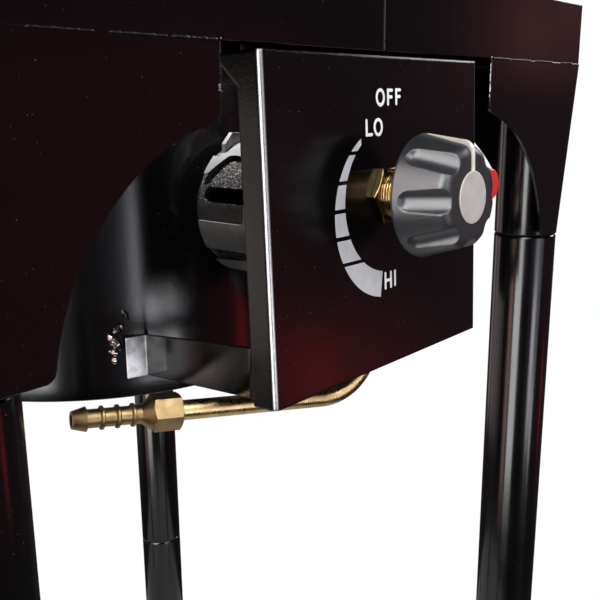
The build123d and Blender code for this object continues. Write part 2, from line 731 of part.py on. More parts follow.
def shutter_windows():
    """On each side a window with a stepped upper edge and a tapered slit under it, both open to the rear rim."""
    open_end = SLEEVE_BACK_Y + SLEEVE_WALL
    window = make_face(
        Polyline(
            (open_end, WINDOW_SILL),
            (open_end, WINDOW_MOUTH),
            (SLEEVE_BACK_Y - MOUTH_DEPTH, WINDOW_MOUTH),
            (SLEEVE_BACK_Y - RAMP_DEPTH, WINDOW_TOP),
            (WINDOW_FRONT_Y, WINDOW_TOP),
            (WINDOW_FRONT_Y, WINDOW_SILL),
            close=True,
        )
    )
    slit = make_face(
        Polyline(
            (open_end, SLIT_TOP),
            (open_end, SLIT_REAR),
            (SLIT_FRONT_Y, SLIT_FRONT),
            (SLIT_FRONT_Y, SLIT_TOP),
            close=True,
        )
    )
    cutters = []
    for outline, corner_round in ((window, WINDOW_ROUND), (slit, SLIT_ROUND)):
        inner_corners = outline.vertices().filter_by(lambda corner: corner.X < SLEEVE_BACK_Y)
        rounded = fillet(inner_corners, corner_round)
        left = Pos(0, 0, MIXER_Z) * extrude(Plane.YZ.offset(-SLEEVE_R / 3) * rounded, -SLEEVE_R)
        cutters += [left, mirror(left, Plane.YZ)]
    return cutters


def shutter_slot():
    """Slot round the sleeve, as long as the shutter turns either way."""
    half_width = SCREW_R + SCREW_GAP
    sweep_angle = SHUTTER_OPEN + SHUTTER_CLOSE
    band = Pos(SLEEVE_R, 0) * Rectangle(4 * SLEEVE_WALL, 2 * half_width)
    arc = revolve(Plane.XZ * band, Axis.Z, revolution_arc=sweep_angle)
    end = Rot(0, 90, 0) * rod(half_width, BOX_R, SLEEVE_R + SLEEVE_WALL)
    slot = arc + end + Rot(0, 0, sweep_angle) * end
    slot = Rot(0, 0, -SHUTTER_CLOSE - SCREW_ANGLE) * slot
    return Pos(0, SCREW_Y, MIXER_Z) * Rot(-90, 0, 0) * slot


def make_burner_cap():
    under = CAP_TOP - CAP_WALL
    cap = spun(
        (CAP_BOLT_R, CAP_TOP),
        (CAP_FLAT_R, CAP_TOP),
        (CAP_RIM_R, CAP_RIM_TOP),
        (CAP_RIM_R, BOWL_TOP),
        (CAP_SPIGOT_R, BOWL_TOP),
        (CAP_SPIGOT_R, BOWL_TOP - CAP_SPIGOT),
        (CAP_SPIGOT_R - CAP_WALL / 2, BOWL_TOP - CAP_SPIGOT),
        (CAP_SPIGOT_R - CAP_WALL / 2, CAP_RIM_TOP - CAP_WALL / 2),
        (CAP_FLAT_R - CAP_WALL / 2, under),
        (CAP_BOLT_R, under),
    )
    port = Pos(0, 0, BOWL_TOP) * Box(PORT_LENGTH, PORT_WIDTH, CAP_TOP - BOWL_TOP, align=STANDING)
    cap -= PolarLocations(PORT_AT, PORT_COUNT) * port
    return cap - PolarLocations(INNER_PORT_AT, INNER_PORTS) * rod(INNER_PORT_R, under, CAP_TOP)


def make_cap_bolt():
    bolt = rod(CAP_BOLT_R, BOWL_BOTTOM + BOWL_WALL, CAP_TOP)
    return bolt + hex_bar(CAP_BOLT_AF, CAP_TOP, CAP_TOP + CAP_BOLT_HEAD)


def make_burner_bolts():
    bolt = hex_bar(BURNER_BOLT_AF, BAR_Z - BURNER_BOLT_HEAD, BAR_Z)
    bolt += rod(BURNER_BOLT_R, BAR_Z, BOWL_BOTTOM)
    return Compound([Pos(side * BOSS_AT, 0, 0) * bolt for side in (-1, 1)])


# Igniter, built about its own axis with z out of the panel's face
def make_igniter_body():
    body = spun(
        (0, TERMINAL_BACK),
        (TERMINAL_R, TERMINAL_BACK),
        (TERMINAL_R, PIEZO_BACK),
        (PIEZO_R, PIEZO_BACK),
        (PIEZO_R, BARREL_BACK),
        (BARREL_R, BARREL_BACK),
        (BARREL_R, 0),
        (BEZEL_R, 0),
        (BEZEL_TOP_R, BEZEL_TOP),
        (0, BEZEL_TOP),
    )
    body -= rod(BUTTON_R + BUTTON_GAP, BUTTON_BACK - BUTTON_TRAVEL - BUTTON_GAP, BEZEL_TOP)
    return body - rod(PLUNGER_R + BUTTON_GAP, PLUNGER_BACK - BUTTON_TRAVEL - BUTTON_GAP, BUTTON_BACK)


def make_igniter_nut():
    return hex_bar(IGNITER_NUT_AF, -PANEL_SHEET - IGNITER_NUT, -PANEL_SHEET) - rod(
        BARREL_R, -PANEL_SHEET - IGNITER_NUT, -PANEL_SHEET
    )


def make_button():
    button = rod(BUTTON_R, BUTTON_BACK, BUTTON_TOP)
    rim = button.edges().filter_by(GeomType.CIRCLE).sort_by(Axis.Z)[-1]
    return fillet(rim, BUTTON_ROUND) + rod(PLUNGER_R, PLUNGER_BACK, BUTTON_BACK)


def make_ceramic():
    rod_part = spun(
        (WIRE_R, CERAMIC_BOTTOM),
        (CERAMIC_R, CERAMIC_BOTTOM),
        (CERAMIC_R, BRACKET_TOP),
        (CERAMIC_COLLAR_R, BRACKET_TOP),
        (CERAMIC_COLLAR_R, BRACKET_TOP + CERAMIC_COLLAR_R),
        (CERAMIC_R, BRACKET_TOP + CERAMIC_COLLAR_R),
        (CERAMIC_R, CERAMIC_TOP),
        (WIRE_R, CERAMIC_TOP),
    )
    return Pos(ELECTRODE_X, 0, 0) * rod_part


def make_wire():
    """Spark wire, out of the ceramic's lower end as a terminal and bent over to the cap above."""
    path = FilletPolyline(
        (ELECTRODE_X, 0, CERAMIC_BOTTOM - CERAMIC_COLLAR_R),
        (ELECTRODE_X, 0, WIRE_TOP),
        (ELECTRODE_X - WIRE_REACH, 0, WIRE_TOP),
        radius=WIRE_BEND_R,
    )
    return sweep((path ^ 0) * Circle(WIRE_R), path=path)


def make_bracket():
    """Bent strip that stands on the burner bar and holds the ceramic's collar."""
    reach = ELECTRODE_X + CERAMIC_COLLAR_R + BRACKET_SHEET
    foot = Pos(reach, 0, BAR_TOP) * Box(
        2 * CERAMIC_COLLAR_R, BRACKET_WIDTH, BRACKET_SHEET, align=STANDING
    )
    upright = Pos(reach, 0, BAR_TOP) * Box(
        BRACKET_SHEET, BRACKET_WIDTH, BRACKET_TOP - BAR_TOP, align=STANDING
    )
    shelf_length = reach + BRACKET_SHEET / 2 - ELECTRODE_X + BRACKET_WIDTH / 2
    shelf_x = reach + BRACKET_SHEET / 2 - shelf_length / 2
    shelf = Pos(shelf_x, 0, BRACKET_TOP - BRACKET_SHEET) * Box(
        shelf_length, BRACKET_WIDTH, BRACKET_SHEET, align=STANDING
    )
    hole = Pos(ELECTRODE_X, 0, 0) * rod(CERAMIC_R, CERAMIC_BOTTOM, BRACKET_TOP)
    return foot + upright + shelf - hole


# Pot grate
def make_grate():
    ring_top = FRAME_TOP + GRATE_RING
    grate = rod(GRATE_OUTER_R, FRAME_TOP, ring_top) - rod(GRATE_INNER_R, FRAME_TOP, ring_top)
    finger_view = Polyline(
        (FINGER_INNER_R, GRATE_TOP - FINGER_TIP),
        (GRATE_INNER_R - GRATE_RING, FRAME_TOP + GRATE_RING / 4),
        (GRATE_INNER_R + FINGER_ROUND, FRAME_TOP),
        (GRATE_OUTER_R - FINGER_ROUND, FRAME_TOP),
        (GRATE_OUTER_R - FINGER_ROUND, GRATE_TOP),
        (FINGER_INNER_R, GRATE_TOP),
        close=True,
    )
    outline = make_face(finger_view)
    tips = outline.vertices().group_by(Axis.Y)[-1]
    outline = fillet(tips, FINGER_ROUND)
    finger = extrude(Plane.XZ * outline, FINGER_THICK / 2, both=True)
    for count in range(FINGERS):
        grate += Rot(0, 0, count * 360 / FINGERS) * finger
    grate += PolarLocations(PEG_AT, PEGS, 45) * rod(PEG_R, PEG_BOTTOM, FRAME_TOP)
    return grate


# Every separate piece under its own name
nodes = {"band": make_band(), "deck_plate": make_deck()}

for quarter, side_name in enumerate(SIDES):
    plate = make_gusset()
    ahead = SIDES[(quarter + 1) % len(SIDES)]
    behind = SIDES[(quarter - 1) % len(SIDES)]
    nodes[f"gusset_{side_name}_{ahead}"] = Rot(0, 0, quarter * 90) * plate
    nodes[f"gusset_{side_name}_{behind}"] = Rot(0, 0, quarter * 90) * mirror(plate, Plane.YZ)

for corner_name, (side_x, side_y) in CORNERS.items():
    at = Pos(side_x * LEG_AT, side_y * LEG_AT, 0)
    nodes[f"leg_stub_{corner_name}"] = at * make_stub()
    nodes[f"leg_{corner_name}"] = at * make_leg(LEG_BOTTOM, STUB_BOTTOM)
    nodes[f"lower_leg_{corner_name}"] = at * make_leg(FOOT_BASE, LEG_BOTTOM)
    nodes[f"foot_{corner_name}"] = at * make_foot()

nodes["drum"] = make_drum()
nodes["burner_bar"] = make_bar()
nodes["strap_left"] = make_strap()
nodes["strap_right"] = mirror(nodes["strap_left"], Plane.YZ)
nodes["panel"] = make_panel()
nodes["hanger_left"] = make_hanger(-1)
nodes["hanger_right"] = make_hanger(1)

valve_axis = FACE * Pos(0, VALVE_UP, 0)
pointer = make_pointer()
nodes["valve_body"] = valve_axis * make_valve_body()
nodes["valve_bonnet"] = valve_axis * make_bonnet()
nodes["jam_nut"] = valve_axis * make_jam_nut()
nodes["valve_jet"] = valve_axis * Pos(0, -JET_DROP, 0) * make_jet()
nodes["valve_stem"] = valve_axis * make_stem()
nodes["knob"] = valve_axis * make_knob(pointer)
nodes["knob_cap"] = valve_axis * make_knob_cap()
nodes["knob_pointer"] = valve_axis * pointer

nodes["gas_pipe"] = make_pipe()
nodes["pipe_nut"] = make_pipe_nut()
nodes["hose_union"] = make_union()
nodes["hose_barb"] = make_barb()

nodes["burner_casting"] = make_casting()
nodes["burner_cap"] = make_burner_cap()
nodes["cap_bolt"] = make_cap_bolt()
nodes["burner_bolts"] = make_burner_bolts()
nodes["air_shutter"] = make_shutter()
nodes["shutter_screw"] = make_shutter_screw()

igniter_axis = FACE * Pos(IGNITER_RIGHT, IGNITER_UP, 0)
nodes["igniter_body"] = igniter_axis * make_igniter_body()
nodes["igniter_nut"] = igniter_axis * make_igniter_nut()
nodes["igniter_button"] = igniter_axis * make_button()
nodes["electrode_ceramic"] = make_ceramic()
nodes["electrode_wire"] = make_wire()
nodes["electrode_bracket"] = make_bracket()

nodes["pot_grate"] = make_grate()

for name, shape in nodes.items():
    export_step(shape, f"parts/{name}.step")
print(len(nodes), "parts written")
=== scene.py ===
# %% [markdown]
# # Gas burner stove
# A free-standing stove for a market stall: a square black steel frame on four tube legs, a round drum that
# keeps the wind off the burner, and a leaning control panel with a knob, an igniter button and a brass gas
# line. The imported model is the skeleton. This lesson gives it paint, brass, iron and plastic, and adds what
# a workshop leaves behind: weld beads, a printed dial, a screw thread.

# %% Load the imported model
import json
import math

import bmesh
import bpy
from mathutils import Matrix, Vector


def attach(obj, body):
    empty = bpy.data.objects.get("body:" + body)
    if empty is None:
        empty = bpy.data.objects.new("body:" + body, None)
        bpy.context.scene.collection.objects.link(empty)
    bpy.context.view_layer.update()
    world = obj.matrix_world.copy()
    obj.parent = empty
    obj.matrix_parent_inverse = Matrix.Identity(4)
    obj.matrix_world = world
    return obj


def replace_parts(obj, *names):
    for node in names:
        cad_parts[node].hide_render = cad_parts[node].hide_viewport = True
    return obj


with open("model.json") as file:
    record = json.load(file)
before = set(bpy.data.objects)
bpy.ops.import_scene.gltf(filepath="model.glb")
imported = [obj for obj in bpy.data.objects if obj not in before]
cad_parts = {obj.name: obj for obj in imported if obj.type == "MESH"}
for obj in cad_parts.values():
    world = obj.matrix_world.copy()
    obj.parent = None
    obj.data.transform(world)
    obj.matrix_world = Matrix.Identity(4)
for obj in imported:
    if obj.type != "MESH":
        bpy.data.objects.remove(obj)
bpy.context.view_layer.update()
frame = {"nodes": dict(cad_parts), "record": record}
parts = frame["nodes"]

# %% [markdown]
# ## The camera
# The photograph was taken from the front left, a little above the knob, with a normal lens. Edges of the
# frame and the panel give the camera's place, its turn and its focal length. A camera can be aimed by a
# tracking constraint, but then its roll is lost. Blender's matrix has right, up and backwards as columns, so
# those three directions are worked out from yaw, pitch and roll.

# %% Place the camera
IMAGE_SIDE = 600
FOCAL_PIXELS = 819.07
SENSOR_MM = 36.0
NEAREST = 0.01
CAMERA_AT = Vector((-0.35308, -0.49491, 0.73647))
CAMERA_YAW = math.radians(40.483)
CAMERA_PITCH = math.radians(13.749)
CAMERA_ROLL = math.radians(-0.437)


def camera_axes(yaw, pitch, roll):
    """Right, up and forward of a camera turned by yaw, tipped down by pitch and rolled."""
    level = math.cos(pitch)
    forward = Vector((math.cos(yaw) * level, math.sin(yaw) * level, -math.sin(pitch)))
    right = Vector((math.sin(yaw), -math.cos(yaw), 0.0))
    up = right.cross(forward)
    rolled_right = math.cos(roll) * right + math.sin(roll) * up
    rolled_up = math.cos(roll) * up - math.sin(roll) * right
    return rolled_right, rolled_up, forward


def make_camera():
    lens = bpy.data.cameras.new("photo_camera")
    lens.sensor_width = SENSOR_MM
    lens.lens = FOCAL_PIXELS / IMAGE_SIDE * SENSOR_MM
    lens.clip_start = NEAREST
    camera = bpy.data.objects.new("photo_camera", lens)
    right, up, forward = camera_axes(CAMERA_YAW, CAMERA_PITCH, CAMERA_ROLL)
    turn = Matrix((right, up, -forward)).transposed().to_4x4()
    camera.matrix_world = Matrix.Translation(CAMERA_AT) @ turn
    bpy.context.scene.collection.objects.link(camera)
    bpy.context.scene.camera = camera
    return camera


camera = make_camera()
print("camera lens", round(camera.data.lens, 2), "mm")

# %% [markdown]
# ## Shader helpers
# Every finish below is a small web of shader nodes. It could be wired by hand in the editor, but code can be
# read and repeated. One helper adds a node and fills its inputs, and a few more wrap the nodes that come up
# again and again: noise, a soft range, a colour mix and sums. Textures use object coordinates, which are
# metres here, so a noise scale of 1000 gives grains of about a millimetre.

# %% Add and link shader nodes
def fill(tree, socket, value):
    """Links a socket to another one, or sets it to a plain value."""
    if isinstance(value, bpy.types.NodeSocket):
        tree.links.new(value, socket)
    else:
        socket.default_value = value


def add_node(tree, kind, inputs=None, **settings):
    """Adds a shader node with its settings, and fills its inputs by name or number."""
    node = tree.nodes.new(kind)
    for name, value in settings.items():
        setattr(node, name, value)
    for name, value in (inputs or {}).items():
        fill(tree, node.inputs[name], value)
    return node


def object_coords(tree):
    return add_node(tree, "ShaderNodeTexCoord").outputs["Object"]


def noise(tree, scale, detail=2.0, rough=0.5):
    wanted = {"Vector": object_coords(tree), "Scale": scale, "Detail": detail, "Roughness": rough}
    return add_node(tree, "ShaderNodeTexNoise", wanted).outputs["Fac"]


def ranged(tree, value, low, high, to_low=0.0, to_high=1.0):
    """Maps low..high to to_low..to_high with soft ends."""
    wanted = {"Value": value, "From Min": low, "From Max": high, "To Min": to_low, "To Max": to_high}
    return add_node(tree, "ShaderNodeMapRange", wanted, interpolation_type="SMOOTHSTEP").outputs["Result"]


def mixed(tree, factor, first, second, blend="MIX"):
    """Colour between first and second, or another blend of the two."""
    wanted = {0: factor, 6: first, 7: second}
    return add_node(tree, "ShaderNodeMix", wanted, data_type="RGBA", blend_type=blend).outputs[2]


def math_node(tree, operation, first, second=0.0):
    return add_node(tree, "ShaderNodeMath", {0: first, 1: second}, operation=operation).outputs[0]


def vector_value(tree, operation, *vectors):
    """Number worked out from one or two vectors, such as a length or a dot product."""
    node = add_node(tree, "ShaderNodeVectorMath", dict(enumerate(vectors)), operation=operation)
    return node.outputs["Value"]


def axes_of(tree, vector):
    return add_node(tree, "ShaderNodeSeparateXYZ", {0: vector}).outputs


def grey(value):
    return (value, value, value, 1.0)


print("shader helpers ready")

# %% [markdown]
# ## Light
# Black gloss paint shows the room far more than its own colour, so the room has to be right. The streaks on
# the tube legs tell what stood there: every point of a round leg mirrors another compass direction. Reading
# them gives a bright soft box to the left, a second one in front, pale paper behind and something red low
# down to the right. These become upright strips, listed by compass angle in degrees and by height, where a
# height is the sine of the rise. A few round lights higher up give the knob and the weld drops their glints.

# %% List the lights of the room
SKY_FILL = 0.55
ROOM_TONE = (0.058, 0.036, 0.044, 1.0)
ROOM_LOW_TONE = (0.034, 0.032, 0.030, 1.0)
STRIP_LIGHTS = (
    # what it stands for, compass angles, heights, soft width of its sides, colour
    ("left soft box", (182.0, 203.0), (-0.345, 0.8), 5.0, (8.4, 8.4, 8.6, 1.0)),
    ("warm edge of the left soft box", (166.0, 181.0), (-0.36, 0.8), 5.0, (2.4, 1.6, 1.3, 1.0)),
    ("dim wall in front", (240.0, 252.0), (-0.29, 0.5), 8.0, (0.14, 0.14, 0.19, 1.0)),
    ("foot of the front soft box", (254.5, 263.0), (-0.29, -0.14), 5.0, (4.4, 4.4, 4.9, 1.0)),
    ("front soft box", (254.5, 263.0), (-0.29, 0.5), 5.0, (2.1, 2.1, 2.3, 1.0)),
    ("dim side of the front soft box", (265.0, 279.0), (-0.24, 0.5), 5.0, (1.2, 1.2, 1.4, 1.0)),
    ("low glint in front", (269.5, 274.5), (-0.315, -0.28), 2.0, grey(9.0)),
    ("pale paper behind", (74.0, 137.0), (-0.30, -0.03), 6.0, (0.98, 0.86, 0.80, 1.0)),
    ("dark red on the right", (298.0, 316.0), (-0.32, 0.06), 6.0, (0.10, 0.006, 0.010, 1.0)),
    ("bright red low on the right", (317.5, 322.0), (-0.32, -0.26), 3.0, (1.20, 0.07, 0.10, 1.0)),
)
ROUND_LIGHTS = (
    # what it stands for, compass angle, rise, edge and core in degrees, colour
    ("red glow on the right", 335.5, 4.5, 5.0, 1.0, (0.28, 0.085, 0.090, 1.0)),
    ("high light in front", 268.0, 46.0, 14.0, 8.0, grey(14.0)),
    ("high light on the left", 212.0, 42.0, 13.0, 7.0, grey(13.0)),
    ("light on the right", 345.0, 24.0, 10.0, 5.0, grey(14.0)),
    ("high light behind", 110.0, 40.0, 10.0, 5.0, grey(12.0)),
)
print(len(STRIP_LIGHTS), "strips and", len(ROUND_LIGHTS), "round lights listed")

# %% [markdown]
# The world shader turns a direction into a compass angle and a height, and every light is a soft patch in
# those numbers. Panels of glowing mesh would mirror too, but they would stand in the way in other views.
# Only mirror rays see this room. Matt surfaces get an even grey fill, so a colour comes out about as it is
# written, and the camera sees plain white.

# %% Draw the room in the world shader
# heights between which the room turns into its floor, and the soft width of a strip's two ends
FLOOR_LINE = (-0.46, -0.34)
STRIP_END = 0.05


def between(tree, value, low, high, soft):
    """One between low and high, falling to zero over a soft width outside them."""
    rise = ranged(tree, value, low - soft, low)
    fall = ranged(tree, value, high, high + soft, 1.0, 0.0)
    return math_node(tree, "MULTIPLY", rise, fall)


def strip_light(tree, compass, height, across, upright, soft, colour):
    """Upright patch of light between two compass angles and two heights."""
    wide = between(tree, compass, across[0], across[1], soft)
    tall = between(tree, height, upright[0], upright[1], STRIP_END)
    return mixed(tree, math_node(tree, "MULTIPLY", wide, tall), grey(0.0), colour)


def round_light(tree, direction, compass, rise, edge, core, colour):
    """Soft round light at a compass angle and a rise, fading from core to edge."""
    level = math.cos(math.radians(rise))
    turn = math.radians(compass)
    aim = (level * math.cos(turn), level * math.sin(turn), math.sin(math.radians(rise)))
    facing = vector_value(tree, "DOT_PRODUCT", direction, aim)
    near = ranged(tree, facing, math.cos(math.radians(edge)), math.cos(math.radians(core)))
    return mixed(tree, near, grey(0.0), colour)


def compass_angle(tree, axes):
    """Compass angle of a direction, from 0 to 360 degrees."""
    backward_x = math_node(tree, "MULTIPLY", axes["X"], -1.0)
    backward_y = math_node(tree, "MULTIPLY", axes["Y"], -1.0)
    turn = math_node(tree, "ARCTAN2", backward_y, backward_x)
    compass = math_node(tree, "MULTIPLY_ADD", turn, math.degrees(1.0))
    compass.node.inputs[2].default_value = 180.0
    return compass


def draw_room(tree):
    """Everything that glossy surfaces mirror, as one colour by direction."""
    direction = add_node(tree, "ShaderNodeTexCoord").outputs["Generated"]
    axes = axes_of(tree, direction)
    compass = compass_angle(tree, axes)
    height = axes["Z"]
    lights = [strip_light(tree, compass, height, *row[1:]) for row in STRIP_LIGHTS]
    lights += [round_light(tree, direction, *row[1:]) for row in ROUND_LIGHTS]
    room = mixed(tree, ranged(tree, height, *FLOOR_LINE), ROOM_LOW_TONE, ROOM_TONE)
    for light in lights:
        room = mixed(tree, 1.0, room, light, "ADD")
    return room


def make_world():
    world = bpy.data.worlds.new("studio")
    bpy.context.scene.world = world
    world.use_nodes = True
    tree = world.node_tree
    path = add_node(tree, "ShaderNodeLightPath").outputs
    mirrored = math_node(tree, "MAXIMUM", path["Is Glossy Ray"], path["Is Transmission Ray"])
    seen = mixed(tree, mirrored, grey(SKY_FILL), draw_room(tree))
    seen = mixed(tree, path["Is Camera Ray"], seen, grey(1.0))
    tree.links.new(seen, tree.nodes["Background"].inputs["Color"])
    return world


world = make_world()
print("world drawn with", len(world.node_tree.nodes), "nodes")

# %% [markdown]
# Three large lamps give shape to brass, plastic and print. Point lamps would be simpler, but area lamps give
# soft shadows as studio boxes do. They light the surfaces and stay out of mirror reflections, because the
# world's strips already stand for the boxes that paint reflects. A fourth, small one hangs under the deck
# over the air shutter, whose top the photograph shows lit from above.

# %% Set the lamps
def make_lamp(name, at, aim, side, watts):
    light = bpy.data.lights.new(name, "AREA")
    light.size = side
    light.energy = watts
    lamp = bpy.data.objects.new(name, light)
    lamp.location = at
    lamp.rotation_euler = (Vector(aim) - Vector(at)).to_track_quat("-Z", "Y").to_euler()
    lamp.visible_glossy = False
    lamp.visible_camera = False
    bpy.context.scene.collection.objects.link(lamp)
    return lamp


AIM = (0.0, -0.15, 0.65)
make_lamp("key_lamp", (-1.1, -1.7, 2.1), AIM, 1.2, 38.0)
make_lamp("fill_lamp", (1.7, -1.2, 1.1), AIM, 1.4, 14.0)
make_lamp("back_lamp", (-0.9, 1.8, 1.7), AIM, 1.3, 22.0)
make_lamp("mixer_lamp", (-0.030, -0.1475, 0.780), (-0.020, -0.148, 0.70), 0.008, 0.85)
print("lamps set")

# %% [markdown]
# ## Floor
# A finish, here and below, is a material with one Principled shader, which can be paint, metal or plastic by
# its inputs alone. One helper starts it and another fills its inputs by name.

# %% Start a finish
def new_finish(name):
    """Material with a Principled shader; returns the material, its node tree and the shader."""
    material = bpy.data.materials.new(name)
    material.use_nodes = True
    tree = material.node_tree
    return material, tree, tree.nodes["Principled BSDF"]


def set_inputs(tree, shader, **values):
    """Fills the shader's inputs by name, with underscores for spaces."""
    for name, value in values.items():
        fill(tree, shader.inputs[name.replace("_", " ")], value)


print("finish helpers ready")

# %% [markdown]
# The floor is a pale disc of matt paper, so it takes the stove's shadow. A large plane would show a horizon
# in other views. The disc fades, for the camera only, to the white of the background, so its rim can't be
# seen either.

# %% Lay the floor
FLOOR_R = 0.5
FLOOR_STEPS = 96
FLOOR_DROP = 0.0006
FLOOR_TONES = (grey(0.58), grey(0.63))
FADE_START = 0.34
FADE_END = 0.47


def floor_paper():
    """Matt paper that turns to the background's white away from the stove."""
    material, tree, shader = new_finish("pale_floor")
    tone = mixed(tree, noise(tree, 60.0, 3.0), *FLOOR_TONES)
    set_inputs(tree, shader, Base_Color=tone, Roughness=0.9, Specular_IOR_Level=0.1)
    reach = vector_value(tree, "LENGTH", object_coords(tree))
    fade = ranged(tree, reach, FADE_START, FADE_END)
    camera_ray = add_node(tree, "ShaderNodeLightPath").outputs["Is Camera Ray"]
    fade = math_node(tree, "MULTIPLY", fade, camera_ray)
    glow = add_node(tree, "ShaderNodeEmission", {"Color": grey(1.0)})
    blend = add_node(tree, "ShaderNodeMixShader", {0: fade, 1: shader.outputs[0], 2: glow.outputs[0]})
    tree.links.new(blend.outputs[0], tree.nodes["Material Output"].inputs["Surface"])
    return material


def make_floor():
    mesh = bpy.data.meshes.new("floor")
    shape = bmesh.new()
    bmesh.ops.create_circle(shape, cap_ends=True, segments=FLOOR_STEPS, radius=FLOOR_R)
    shape.to_mesh(mesh)
    shape.free()
    floor = bpy.data.objects.new("floor", mesh)
    floor.location = (0.0, 0.0, -FLOOR_DROP)
    bpy.context.scene.collection.objects.link(floor)
    mesh.materials.append(floor_paper())
    return floor


make_floor()
print("floor laid with radius", FLOOR_R, "m")

# %% [markdown]
# ## Black powder coat
# Nearly all of the stove is sheet steel under black powder coat. It is almost mirror glossy, yet the baked
# powder leaves a faint orange peel, hand smears change its gloss from place to place, and pale dust settles
# on it. Painted image textures could show this, but noise has no seams and stays sharp close up. A
# rounded-edge normal lets every cut edge catch a thin line of light, as real sheet does. One function mixes
# every black coat. The legs are a little duller than the frame, weld stitches are quite dull, edge beads are
# glossy, and on the weld drops the coat pooled and is as shiny as glass.

# %% Mix the black coats
COAT_BLACK = (0.0016, 0.0014, 0.0015, 1.0)
DUST_GREY = (0.055, 0.050, 0.050, 1.0)
EDGE_SAMPLES = 6


def bumped(tree, height, strength, distance, normal):
    """Normal that adds the relief of a height to another normal."""
    wanted = {"Height": height, "Strength": strength, "Distance": distance, "Normal": normal}
    return add_node(tree, "ShaderNodeBump", wanted).outputs["Normal"]


def round_edges(tree, radius):
    """Normal that rounds sharp edges over the given radius."""
    return add_node(tree, "ShaderNodeBevel", {"Radius": radius}, samples=EDGE_SAMPLES).outputs["Normal"]


def black_coat(name, gloss_low, gloss_high, peel, edge, glassy=1.5):
    """Coat with a roughness range, orange peel, an edge radius in metres and a refractive index."""
    material, tree, shader = new_finish(name)
    smear = ranged(tree, noise(tree, 14.0, 4.0), 0.35, 0.7, gloss_low, gloss_high)
    specks = ranged(tree, noise(tree, 1100.0, 0.0), 0.83, 0.86)
    film = ranged(tree, noise(tree, 90.0, 6.0, rough=0.7), 0.5, 0.9, 0.0, 0.02)
    dust = math_node(tree, "MAXIMUM", specks, film)
    colour = mixed(tree, dust, COAT_BLACK, DUST_GREY)
    skin = math_node(tree, "ADD", noise(tree, 420.0, 1.0), noise(tree, 1400.0, 1.0))
    normal = bumped(tree, skin, peel, 0.0004, round_edges(tree, edge))
    set_inputs(tree, shader, Base_Color=colour, Roughness=smear, IOR=glassy, Normal=normal)
    return material


frame_coat = black_coat("frame_coat", 0.09, 0.15, 0.05, 0.0008)
drum_coat = black_coat("drum_coat", 0.16, 0.21, 0.07, 0.0006)
leg_coat = black_coat("leg_coat", 0.13, 0.19, 0.03, 0.0005)
drop_coat = black_coat("drop_coat", 0.05, 0.08, 0.05, 0.0002, 3.2)
stitch_coat = black_coat("stitch_coat", 0.36, 0.46, 0.05, 0.0002, 1.3)
bead_coat = black_coat("bead_coat", 0.07, 0.12, 0.05, 0.0002, 2.0)
panel_coat = black_coat("panel_coat", 0.17, 0.23, 0.05, 0.002)
print("black coats mixed")

# %% [markdown]
# The control panel is the sheet that hands touch. Its face is a little duller than the frame. On the two
# upright folds beside it the finish turns to bright bare steel, a painted highlight, so that the left one
# shows as a white line of light. A thin strip of mesh could show it, but the finish carries it. The panel's
# own frame has x to the right, y up the leaning sheet and z out of it. A fold is where a point lies both
# near the panel's side and near its front.

# %% Paint highlights on the folds of the panel
MM = 0.001
PANEL_AT = Vector((0.0, -0.2544, 0.6774))
PANEL_LEAN = math.radians(2.3)
PANEL_RIGHT = Vector((1.0, 0.0, 0.0))
PANEL_UP = Vector((0.0, math.sin(PANEL_LEAN), math.cos(PANEL_LEAN)))
PANEL_OUT = Vector((0.0, -math.cos(PANEL_LEAN), math.sin(PANEL_LEAN)))
PANEL_SIDE = 92.5 * MM
FOLD_REACH = 2.2 * MM
FOLD_HIGHLIGHT_STEEL = (0.36, 0.355, 0.35, 1.0)


def bare_metal_highlight(material, mask, metal):
    """Turns a coat to bright bare metal where the mask is one, as a painted highlight."""
    tree = material.node_tree
    shader = tree.nodes["Principled BSDF"]
    coat = shader.inputs["Base Color"].links[0].from_socket
    set_inputs(tree, shader, Base_Color=mixed(tree, mask, coat, metal), Metallic=mask)


def paint_fold_highlights(material):
    """Paints a highlight of bright bare steel on the panel's upright folds."""
    tree = material.node_tree
    place = object_coords(tree)
    aside = math_node(tree, "ABSOLUTE", axes_of(tree, place)["X"])
    near_side = ranged(tree, aside, PANEL_SIDE - FOLD_REACH, PANEL_SIDE - FOLD_REACH / 2)
    depth = vector_value(tree, "DOT_PRODUCT", place, PANEL_OUT)
    front = PANEL_AT.dot(PANEL_OUT)
    near_front = ranged(tree, depth, front - FOLD_REACH, front - FOLD_REACH / 2)
    fold = math_node(tree, "MULTIPLY", near_side, near_front)
    bare_metal_highlight(material, fold, FOLD_HIGHLIGHT_STEEL)


# the bright steel on the folds is a painted highlight
paint_fold_highlights(panel_coat)
print("folds rubbed at", PANEL_SIDE, "m from the panel's middle")

# %% [markdown]
# Two flat straps tie the panel to the drum. Their bent tabs are ground bare on the front for the weld, and
# the pale steel there is set bright as a painted highlight of the light that the tab fronts catch. The tabs
# could be pieces with a finish of their own, but the strap is one sheet, so one finish changes along it. A
# tab is where a point is close to the drum and its surface looks to the front, and noise smudges the steel
# there between two pale greys.

# %% Grind the tabs of the straps and paint their highlight
TAB_REACH = 0.1450
TAB_FADE = 0.0006
TAB_ROUGH = 0.48
TAB_HIGHLIGHT_GREYS = (grey(0.50), grey(0.90))


